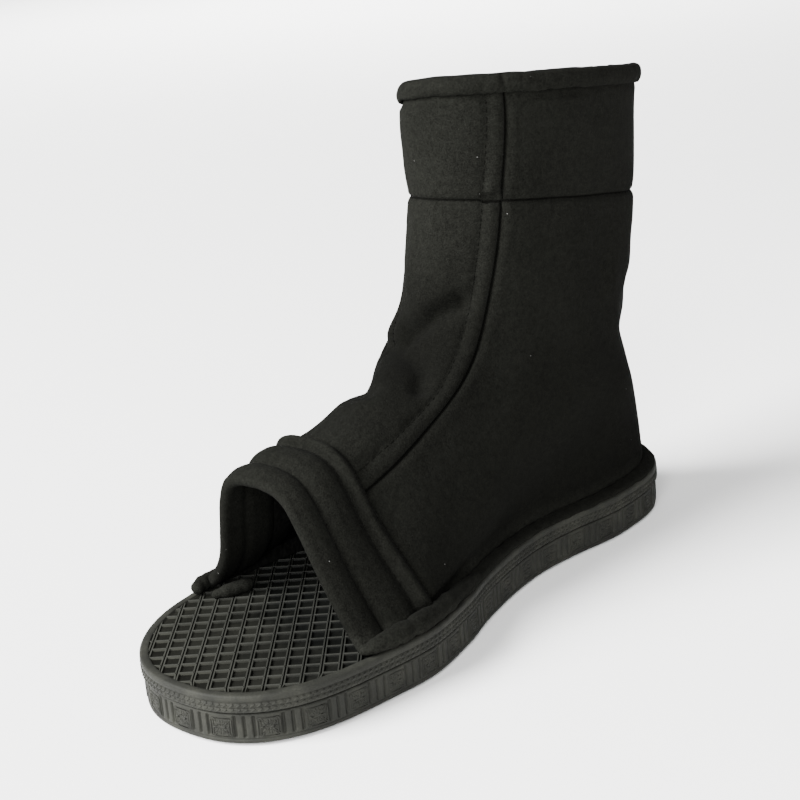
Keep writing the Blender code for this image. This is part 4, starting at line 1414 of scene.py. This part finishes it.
class BOOT_OT_outsole(bpy.types.Operator):
    """Adds the outsole with its grooves, figures and tread bars."""

    bl_idname = "boot.outsole"
    bl_label = "Outsole"

    def execute(self, context):
        sole = context.scene.boot_sole
        rubber = finish_of(moulded_rubber, context.scene.boot_colours)
        points = round(run_length(outline())[-1] / WALL_STEP)
        line, run = outline_run(points)
        length = run[-1] + run[1]
        groups = round(length / GROUP_PITCH)
        pitch = length / groups
        depth = self.groove_depth(line, run, pitch, sole.groove / MM)
        rows = [at_height(moved_out(line, out - depth * share), z) for out, z, share in OUTSOLE_WALL]
        dress(lofted("outsole_wall", rows, rubber), "boot", "outsole", "outsole")
        dress(self.tread(rubber), "boot", "outsole")
        dress(self.figures(line, run, pitch, sole.ornament / MM, rubber), "boot", "outsole")
        return {"FINISHED"}

    def groove_depth(self, line, run, pitch, depth):
        """Depth of the wall's grooves: three to a group, shallow at the waist of the inner side."""
        place_in = np.mod(run, pitch) - pitch / 2
        apart = [np.abs(place_in - k * GROOVE_PITCH) / GROOVE_HALF for k in (-1, 0, 1)]
        groove = sum(np.clip(1.5 - distance, 0, 1) for distance in apart)
        middle_x, reach, left = WAIST
        waist = hump(line[:, 0] - middle_x, reach) * (line[:, 1] > 0)
        return depth * groove * (1 - (1 - left) * waist)

    def tread(self, rubber):
        """Bars across heel and forefoot."""
        inner = moved_out(outline(), -TREAD_INSET)
        half_way = len(inner) // 2
        sides = [inner[:half_way + 1][::-1], inner[half_way:]]
        tall = TREAD_Z + TREAD_SINK
        bm = bmesh.new()
        for first, last, count in TREAD:
            for share in np.linspace(first, last, count):
                x = (share - 0.5) * SOLE_LENGTH
                reach = (x - TREAD_WIDTH / 2, x + TREAD_WIDTH / 2)
                ends = [np.interp(reach, s[:, 0], s[:, 1]) for s in sides]
                high = min(ends[0])
                low = max(ends[1])
                add_box(bm, (TREAD_WIDTH, high - low, tall), (x, (high + low) / 2, tall / 2))
        bmesh.ops.translate(bm, vec=SHIFT, verts=bm.verts)
        rounded_edges(bm, bm.edges, TREAD_ROUND)
        return small_piece("outsole_tread", bm, rubber)

    def figures(self, line, run, pitch, relief, rubber):
        """A small moulded square with leaves round a bead between each two groups of grooves."""
        bm = bmesh.new()
        for k in range(8):
            turn = k * TURN / 8
            outer = (FIGURE_CORNER, 0.0) if k % 2 else (FIGURE_SIDE, math.pi / 2)
            for (length, width, share, reach), more in ((FIGURE_LEAF, 0.0), outer):
                at = (reach * math.cos(turn), reach * math.sin(turn))
                add_ridge(bm, length, width, share * relief, at, turn + more)
        bead = bmesh.ops.create_uvsphere(bm, u_segments=8, v_segments=6, radius=FIGURE_BEAD)["verts"]
        bmesh.ops.scale(bm, vec=(1, 1, relief), verts=bead)
        stops = np.arange(round((run[-1] + run[1]) / pitch)) * pitch
        at = read_line(stops, run, line)
        tangent = unit(read_line(stops, run, directions(line)))
        lines = []
        for p, t in zip(at, tangent):
            ends = at_height(np.array([p - 0.5 * t, p + 0.5 * t]), FIGURE_Z)
            lines.append((ends, np.tile([t[1], -t[0], 0.0], (2, 1))))
        values = {"Pitch": 2 * MM, "Lift": -FIGURE_SINK * MM}
        piece = small_piece("figure_piece", bm)
        return grown("outsole_figures", piece, path_mesh(lines), row_along_line, rubber, values)


class BOOT_OT_footbed(bpy.types.Operator):
    """Adds the footbed slab with its rope lines and waffle."""

    bl_idname = "boot.footbed"
    bl_label = "Footbed"

    def execute(self, context):
        sole = context.scene.boot_sole
        colours = context.scene.boot_colours
        rubber = finish_of(moulded_rubber, colours)
        foam = finish_of(footbed_foam, colours)
        line, _ = outline_run(SLAB_POINTS)
        rows = [at_height(moved_out(line, out), z) for out, z in SLAB_EDGE]
        slab = lofted("footbed_slab", rows, rubber, foam)
        slab.data.polygons[-1].material_index = 1
        dress(slab, "boot", "midsole", "midsole")
        dress(self.ropes(line, sole, rubber), "boot", "midsole")
        dress(self.waffle(sole, foam), "boot", "midsole")
        return {"FINISHED"}

    def ropes(self, line, sole, rubber):
        """Two lines of slanting strands round the slab's side, like a flat rope."""
        bm = bmesh.new()
        add_ridge(bm, *STRAND, turn=STRAND_TURN)
        lines = []
        for z, out, slant in ROPES:
            ring = at_height(closed(moved_out(line, out)), z)
            flat = np.diff(ring, axis=0, append=ring[1:2])
            lean = unit(np.stack([flat[:, 1], -flat[:, 0], np.zeros(len(flat))], axis=1))
            lines.append((ring[::slant], lean[::slant]))
        values = {"Pitch": sole.rope_pitch, "Lift": -STRAND_SINK * MM}
        piece = small_piece("strand_piece", bm)
        return grown("footbed_ropes", piece, path_mesh(lines), row_along_line, rubber, values)

    def waffle(self, sole, foam):
        """Waffle of the bed: strips like ladders, two low rails with a bar across at each cell."""
        along = sole.cell_along / MM
        across = sole.cell_across / MM
        high = sole.cell_height / MM
        bm = bmesh.new()
        rail = across / 2 - WAFFLE_GROOVE
        width, taper, over = WAFFLE_BAR
        add_ridge(bm, 2 * rail + over, width, high, (-along / 2, 0.0), math.pi / 2, taper)
        width, taper, share = WAFFLE_RAIL
        for side in (-1, 1):
            add_ridge(bm, along, width, high * share, (0.0, side * rail), taper=taper)
        line = outline_run(SLAB_POINTS)[0]
        bed = at_height(moved_out(line, WAFFLE_OVER - BED_INSET), BED_Z)
        area = mesh_of("bed_area", bed, [list(range(len(bed)))], solid=False)
        reach = SOLE_LENGTH * WAFFLE_REACH
        values = {"Reach": reach * MM, "Columns": round(reach / along) + 1,
                  "Rows": round(reach / across) + 1, "Turn": sole.cell_turn}
        piece = small_piece("cell_piece", bm)
        obj = grown("footbed_waffle", piece, area, cells_over_bed, foam, values)
        obj.data.shade_flat()
        self.tuck_under_rim(obj.data, moved_out(line, WAFFLE_EDGE - BED_INSET))
        return obj

    def tuck_under_rim(self, mesh, edge):
        """Draws what lies past an edge under the rim back to it."""
        flat = np.empty(len(mesh.vertices) * 3)
        mesh.vertices.foreach_get("co", flat)
        points = flat.reshape(-1, 3) / MM - SHIFT
        ahead = directions(edge)
        nearest = np.array([np.argmin(((edge - p) ** 2).sum(axis=1)) for p in points[:, :2]])
        over = points[:, :2] - edge[nearest]
        past = over[:, 0] * ahead[nearest, 1] - over[:, 1] * ahead[nearest, 0] > 0
        points[past, :2] = edge[nearest[past]]
        mesh.vertices.foreach_set("co", place(points).ravel())


class BOOT_OT_upper(bpy.types.Operator):
    """Adds the upper's cloth with its seams, gathers and creases."""

    bl_idname = "boot.upper"
    bl_label = "Upper"

    def execute(self, context):
        settings = context.scene.boot_cloth
        colours = context.scene.boot_colours
        cloth = Cloth(settings)
        outer = cloth.sewn(settings)
        inner = cloth.points - cloth.normals * cloth.wall
        kept = np.ones((len(outer), EDGE_ROW), bool)
        kept[SLIT_COLUMN:2 * BACK_COLUMN - SLIT_COLUMN, :INSTEP_ROW] = False
        apart = np.minimum(abs(cloth.behind_seam), abs(cloth.below(CUFF_ROW)))
        across = np.copysign(apart, cloth.behind_seam)
        mesh = shell_mesh("upper_cloth", seated(outer), seated(inner), kept, across)
        finishes = finish_of(brushed_cloth, colours), finish_of(lining_cloth, colours)
        dress(new_object("upper_cloth", mesh, *finishes), "boot", "cloth", "upper")
        return {"FINISHED"}


class BOOT_OT_trims(bpy.types.Operator):
    """Adds the toe band, the base roll, the collar hem and the rolled cloth at the opening's feet."""

    bl_idname = "boot.trims"
    bl_label = "Band, roll and hem"

    def execute(self, context):
        settings = context.scene.boot_cloth
        felt = finish_of(brushed_cloth, context.scene.boot_colours)
        cloth = Cloth(settings)
        gather = settings.pucker / MM
        for name, node, loops in (
            ("toe_band_cloth", "toe_band", band_loops),
            ("base_roll_cloth", "base_roll", roll_loops),
            ("collar_hem", "collar_binding", hem_loops),
        ):
            dress(lofted(name, loops(cloth, gather), felt), "boot", "cloth", node)
        for name, path, radii in FOOT_ROLLS:
            dress(lofted(name, tube_loops(path, radii), felt), "boot", "cloth")
        return {"FINISHED"}


def band_heights(shares, run, gather):
    """Height of the toe band's ribs at shares of its width, with gathers along its stitched grooves."""
    height = read_table(BAND_RIBS, shares)
    pitch, seed, share, reach = BAND_GATHERS
    for k, groove in enumerate(BAND_GROOVES):
        pull = ripple(np.array(run), pitch, seed + k, share * gather)
        height = height + pull * hump(shares - groove, reach)
    return height


def band_loops(cloth, gather):
    """Cross-sections of the toe band: ribs outside, the fold over the opening's edge, facing inside."""
    shares = np.linspace(0, 1, BAND_STEPS)
    back = np.linspace(BAND_END, FACING_FROM, FACING_POINTS)
    depth, reach = FACING_DIP
    padding = smooth((back - FACING_FROM) / FACING_SLOPE) - depth * hump(back - BAND_GROOVES[1], reach)
    inside = -cloth.wall - BAND_FACING * padding - FACING_GAP
    loops = []
    for c in range(-FOOT_COLUMN, FOOT_COLUMN + 1):
        heights = band_heights(shares, cloth.around[c, EDGE_ROW], gather)
        outer = cloth.out(c, shares * BAND_END, heights)
        facing = cloth.out(c, back, inside)
        over = cloth.out(c, np.linspace(FACING_FROM, 0.0, 5), np.linspace(-cloth.wall + GAP, GAP, 5))
        ahead = unit(cloth.points[c, EDGE_ROW] - cloth.points[c, EDGE_ROW - 2])
        rise = (outer[-1] - facing[0]) / 2
        hub = (outer[-1] + facing[0]) / 2
        turn = np.linspace(0, math.pi, 9)[1:-1, None]
        fold = hub + rise * np.cos(turn) + ahead * np.sin(turn) * np.linalg.norm(rise)
        loops.append(seated(np.concatenate([outer, fold, facing, over])))
    return loops


def roll_loops(cloth, gather):
    """Cross-sections of the base roll, from the toe opening's inner foot round the heel."""
    shares = np.linspace(0, 1, ROLL_STEPS)
    heights = read_table(ROLL_PROFILE, shares)
    columns = range(FOOT_COLUMN, len(cloth.points) - FOOT_COLUMN + 1)
    runs = run_length(cloth.points[columns, EDGE_ROW])
    left = np.clip(np.minimum(runs, runs[-1] - runs) / ROLL_END, 0.02, 1)
    loops = []
    for c, run, end in zip(columns, runs, np.sqrt(1 - (1 - left) ** 2)):
        top = ROLL_FROM + ripple(run, *ROLL_TOP)
        swell = heights * end * (1 + gather * ripple(run, *ROLL_SWELL))
        outer = cloth.out(c, top + (1 - top) * shares, swell)
        under = cloth.out(c, (1.0, 0.5 + top / 2, top + 0.02), np.full(3, heights[0]))
        loops.append(seated(np.concatenate([outer, under])))
    return loops


def tube_loops(path, radii):
    """Round cross-sections along a path, closing to small ends."""
    at = np.linspace(0, 1, TUBE_STEPS)
    path = np.array(path)
    run = run_length(path)
    spine = curve(run / run[-1], path, at)
    size = curve(run / run[-1], np.reshape(radii, (-1, 1)), at)[:, 0]
    ahead = unit(np.gradient(spine, axis=0))
    side = unit(np.cross(ahead, [0.0, 0.0, 1.0]))
    up = np.cross(side, ahead)
    turn = np.linspace(0, TURN, TUBE_SIDES, endpoint=False)
    size = size * (1 + ripple(at * run[-1], *TUBE_SWELL)) * np.sqrt(1 - (2 * at - 1) ** 8 + 0.02)
    return [p + r * (np.outer(np.cos(turn), a) + np.outer(np.sin(turn), b))
            for p, r, a, b in zip(spine, size, side, up)]


def hem_loops(cloth, gather):
    """Cross-sections of the rolled hem over the collar's edge, from one side of the zip to the other."""
    table = np.array(HEM_ROUND)
    run = run_length(table)
    profile = np.concatenate([curve(run, table, np.linspace(0, run[-1], HEM_STEPS)), HEM_INSIDE])
    outside = profile[:, 0] > 0.3
    lower = smooth(-profile[:, 1] / 6 - 0.5)
    reach, depth = HEM_NOTCH
    loops = []
    for c in range(-SLIT_COLUMN, SLIT_COLUMN + 1):
        top = cloth.points[c, 0]
        up = unit(top - cloth.points[c, HEM_ROW])
        along = np.array(cloth.around[c, 0])
        pull = ripple(along, *HEM_PULL, gather)
        notch = depth * hump(cloth.behind_seam[c, 0], reach)
        out = profile[:, 0] * (1 + ripple(along, *HEM_SWELL)) + (pull * HEM_PULL_OUT - notch) * outside
        rise = profile[:, 1] + pull * HEM_PULL_UP * lower + ripple(along, *HEM_RISE)
        loops.append(top + out[:, None] * cloth.normals[c, 0] + rise[:, None] * up)
    return loops


class BOOT_OT_stitches(bpy.types.Operator):
    """Adds the stitches of the seams, the band and the zip."""

    bl_idname = "boot.stitches"
    bl_label = "Stitches"

    def execute(self, context):
        settings = context.scene.boot_cloth
        cloth = Cloth(settings)
        thread = finish_of(sewing_thread, context.scene.boot_colours)
        pitch = settings.stitch_pitch
        surface = cloth.sewn(settings)
        front = [(c, slice(HEM_ROW + 1, BAND_ROW)) for c in (STITCH_COLUMN, -STITCH_COLUMN)]
        slit = [(c, slice(HEM_ROW, INSTEP_ROW)) for c in (SLIT_COLUMN - 2, 2 - SLIT_COLUMN)]
        cuff = (np.arange(-SLIT_COLUMN, SLIT_COLUMN + 1), CUFF_ROW + 1)
        lines = [(surface[where], cloth.normals[where]) for where in (*front, *slit, cuff)]
        lines += [self.along_band(cloth, groove, settings.pucker / MM) for groove in BAND_GROOVES]
        values = {"Pitch": pitch, "Wander": STITCH_WANDER, "Seed": context.scene.boot_zip.seed}
        piece = stitch_piece(pitch / MM * STITCH_SHARE, settings.stitch_thick / MM)
        obj = grown("stitches", piece, path_mesh(lines), row_along_line, thread, values)
        dress(obj, "boot", "cloth")
        return {"FINISHED"}

    def along_band(self, cloth, groove, gather):
        """A line along one stitched groove of the band."""
        columns = range(3 - FOOT_COLUMN, FOOT_COLUMN - 2)
        share = np.array([groove])
        points = []
        for c in columns:
            height = band_heights(share, cloth.around[c, EDGE_ROW], gather)
            points.append(cloth.out(c, share, height)[0])
        lean = [cloth.normals[c, (BAND_ROW + EDGE_ROW) // 2] for c in columns]
        return np.array(points), np.array(lean)


class BOOT_OT_zip(bpy.types.Operator):
    """Adds the zip's tape, teeth, slider and pull."""

    bl_idname = "boot.zip"
    bl_label = "Zip"

    def execute(self, context):
        settings = context.scene.boot_zip
        colours = context.scene.boot_colours
        cloth = Cloth(context.scene.boot_cloth)
        metal = finish_of(zip_metal, colours)
        edge = settings.edge / MM
        tape = lofted("zip_tape_cloth", self.tape_loops(cloth), finish_of(woven_tape, colours))
        dress(tape, "boot", "tape", "zip_tape")
        dress(self.teeth(cloth, settings.tooth_pitch, metal), "boot", "metal", "zip_chain")
        bar = self.bar_axis()
        dress(self.slider(bar, edge, metal), "boot", "metal", "zip_slider")
        dress(self.pull(bar, edge, metal), "zip_pull", "metal", "zip_pull")
        return {"FINISHED"}

    def bar_axis(self):
        """The bar that the pull turns on, in the boot's own axes."""
        joint = next(j for j in frame["joints"] if j["name"] == "pull_swing")
        return np.array(joint["pos_m"]) / MM - SHIFT

    def tape_loops(self, cloth):
        """Cross-sections of the tape under the slit's two edges."""
        near = [SLIT_COLUMN - 4, SLIT_COLUMN, BACK_COLUMN, -SLIT_COLUMN, 4 - SLIT_COLUMN]
        loops = []
        for r in range(HEM_ROW, INSTEP_ROW + 1):
            face, back = (cloth.points[near, r] - cloth.normals[near, r] * (cloth.wall + GAP + thick)
                          for thick in (0.0, TAPE_WALL))
            loops.append(np.concatenate([face, back[::-1]]))
        return loops

    def teeth(self, cloth, pitch, metal):
        """Pairs of meshing teeth down the middle of the tape."""
        bm = bmesh.new()
        for side in (-1, 1):
            add_box(bm, TOOTH, (side * pitch / MM / 4, side * TOOTH_ASIDE, 0.0))
        rounded_edges(bm, bm.edges, TOOTH_ROUND)
        rows = slice(HEM_ROW + 1, INSTEP_ROW - 3)
        lean = cloth.normals[BACK_COLUMN, rows]
        line = cloth.points[BACK_COLUMN, rows] - lean * (cloth.wall - TOOTH[2] / 2)
        piece = small_piece("tooth_piece", bm)
        return grown("zip_teeth", piece, path_mesh([(line, lean)]), row_along_line, metal, {"Pitch": pitch})

    def slider(self, bar, edge, metal):
        """Slider: a block that narrows downwards, two posts and the bar."""
        thick, wide, tall = SLIDER
        low, high = (np.array(corner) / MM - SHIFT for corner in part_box("zip_slider"))
        centre = np.array([high[0] - thick / 2, 0.0, (low[2] + high[2]) / 2])
        bm = bmesh.new()
        add_box(bm, (thick, wide, tall), centre)
        for v in bm.verts:
            if v.co.z < centre[2]:
                v.co.y *= SLIDER_WAIST
        rounded_edges(bm, bm.edges, edge * SLIDER_ROUND, 3)
        post_wide, post_tall, past, into = POST
        reach = centre[0] - thick / 2 - bar[0] + into
        for side in (-1, 1):
            at = (bar[0] - past + reach / 2, side * BAIL_HALF, bar[2])
            post = add_box(bm, (reach, post_wide, post_tall), at)
            rounded_edges(bm, dict.fromkeys(e for v in post for e in v.link_edges), POST_ROUND)
        rod = bmesh.ops.create_cone(bm, cap_ends=True, segments=20, radius1=BAR_RADIUS, radius2=BAR_RADIUS,
                                    depth=2 * BAIL_HALF)["verts"]
        bmesh.ops.rotate(bm, matrix=Matrix.Rotation(math.pi / 2, 3, "X"), verts=rod)
        bmesh.ops.translate(bm, vec=bar, verts=rod)
        bmesh.ops.translate(bm, vec=SHIFT, verts=bm.verts)
        return small_piece("zip_slider_body", bm, metal)

    def pull(self, bar, edge, metal):
        """Pull tab: a long plate with a slot, and the eye round the slider's bar."""
        thick, wide, tall = PULL
        bore, rim, broad, soft = EYE
        beside, over, radius = PULL_SLOT
        outer = self.rounded(wide / 2, tall / 2, PULL_CORNER)
        slot = self.rounded(wide / 2 - beside, tall / 2 - over, radius)
        half = thick / 2
        steps = ((-half, edge), (edge - half, 0.0), (half - edge, 0.0), (half, edge))
        tab = [self.plate_ring(outer, depth, -inset) for depth, inset in steps]
        tab += [self.plate_ring(slot, depth, inset) for depth, inset in reversed(steps)]
        tab = np.array(tab) + bar + np.array([0.0, 0.0, -tall / 2 - TAB_FROM])
        turn = np.linspace(0, TURN, 28, endpoint=False)
        side = broad / 2
        eye = []
        for radius, y in ((bore, -side), (rim - soft, -side), (rim, soft - side),
                          (rim, side - soft), (rim - soft, side), (bore, side)):
            ring = [np.cos(turn) * radius, np.full(len(turn), y), np.sin(turn) * radius]
            eye.append(np.stack(ring, axis=1) + bar)
        meshes = [loft_mesh("pull_tab", tab, ring=True), loft_mesh("pull_eye", eye, ring=True)]
        bm = bmesh.new()
        for mesh in meshes:
            bm.from_mesh(mesh)
            bpy.data.meshes.remove(mesh)
        mesh = bpy.data.meshes.new("zip_pull_tab")
        bm.to_mesh(mesh)
        bm.free()
        mesh.shade_smooth()
        mesh.set_sharp_from_angle(angle=math.radians(50))
        return new_object("zip_pull_tab", mesh, metal)

    def rounded(self, half_wide, half_tall, radius):
        """Outline of an upright plate as its corners' centres, outward directions and radius."""
        corners = ((1, 1, 0), (-1, 1, 1), (-1, -1, 2), (1, -1, 3))
        points = []
        for y, z, quarter in corners:
            for t in np.linspace(0, math.pi / 2, 7):
                turn = t + quarter * math.pi / 2
                hub = (y * (half_wide - radius), z * (half_tall - radius))
                points.append((hub, (math.cos(turn), math.sin(turn)), radius))
        return points

    def plate_ring(self, ring, x, out):
        """A plate's outline at one depth, moved out by a distance."""
        return np.array([
            (x, hub[0] + way[0] * (radius + out), hub[1] + way[1] * (radius + out))
            for hub, way, radius in ring
        ])


class BOOT_PT_sidebar(bpy.types.Panel):
    """Lists the boot's pieces and their sizes."""

    bl_idname = "BOOT_PT_sidebar"
    bl_label = "Ninja boot"
    bl_space_type = "VIEW_3D"
    bl_region_type = "UI"
    bl_category = "Boot"

    def draw(self, context):
        for operator in PIECES:
            self.layout.operator(operator.bl_idname)
        for name, group in SETTINGS:
            column = self.layout.column(align=True)
            for size in group.__annotations__:
                column.prop(getattr(context.scene, name), size)


PIECES = (
    BOOT_OT_stage,
    BOOT_OT_outsole,
    BOOT_OT_footbed,
    BOOT_OT_upper,
    BOOT_OT_trims,
    BOOT_OT_stitches,
    BOOT_OT_zip,
)


def register():
    for name, group in SETTINGS:
        bpy.utils.register_class(group)
        setattr(bpy.types.Scene, name, PointerProperty(type=group))
    for cls in (*PIECES, BOOT_PT_sidebar):
        bpy.utils.register_class(cls)


def unregister():
    for cls in (BOOT_PT_sidebar, *reversed(PIECES)):
        bpy.utils.unregister_class(cls)
    for name, group in reversed(SETTINGS):
        delattr(bpy.types.Scene, name)
        bpy.utils.unregister_class(group)


def main():
    for obj in [o for o in bpy.data.objects if o.name in ("Cube", "Light", "Camera")]:
        bpy.data.objects.remove(obj, do_unlink=True)
    register()
    bpy.ops.boot.stage()
    bpy.ops.boot.outsole()
    bpy.ops.boot.footbed()
    bpy.ops.boot.upper()
    bpy.ops.boot.trims()
    bpy.ops.boot.stitches()
    bpy.ops.boot.zip()


if __name__ == "__main__":
    main()
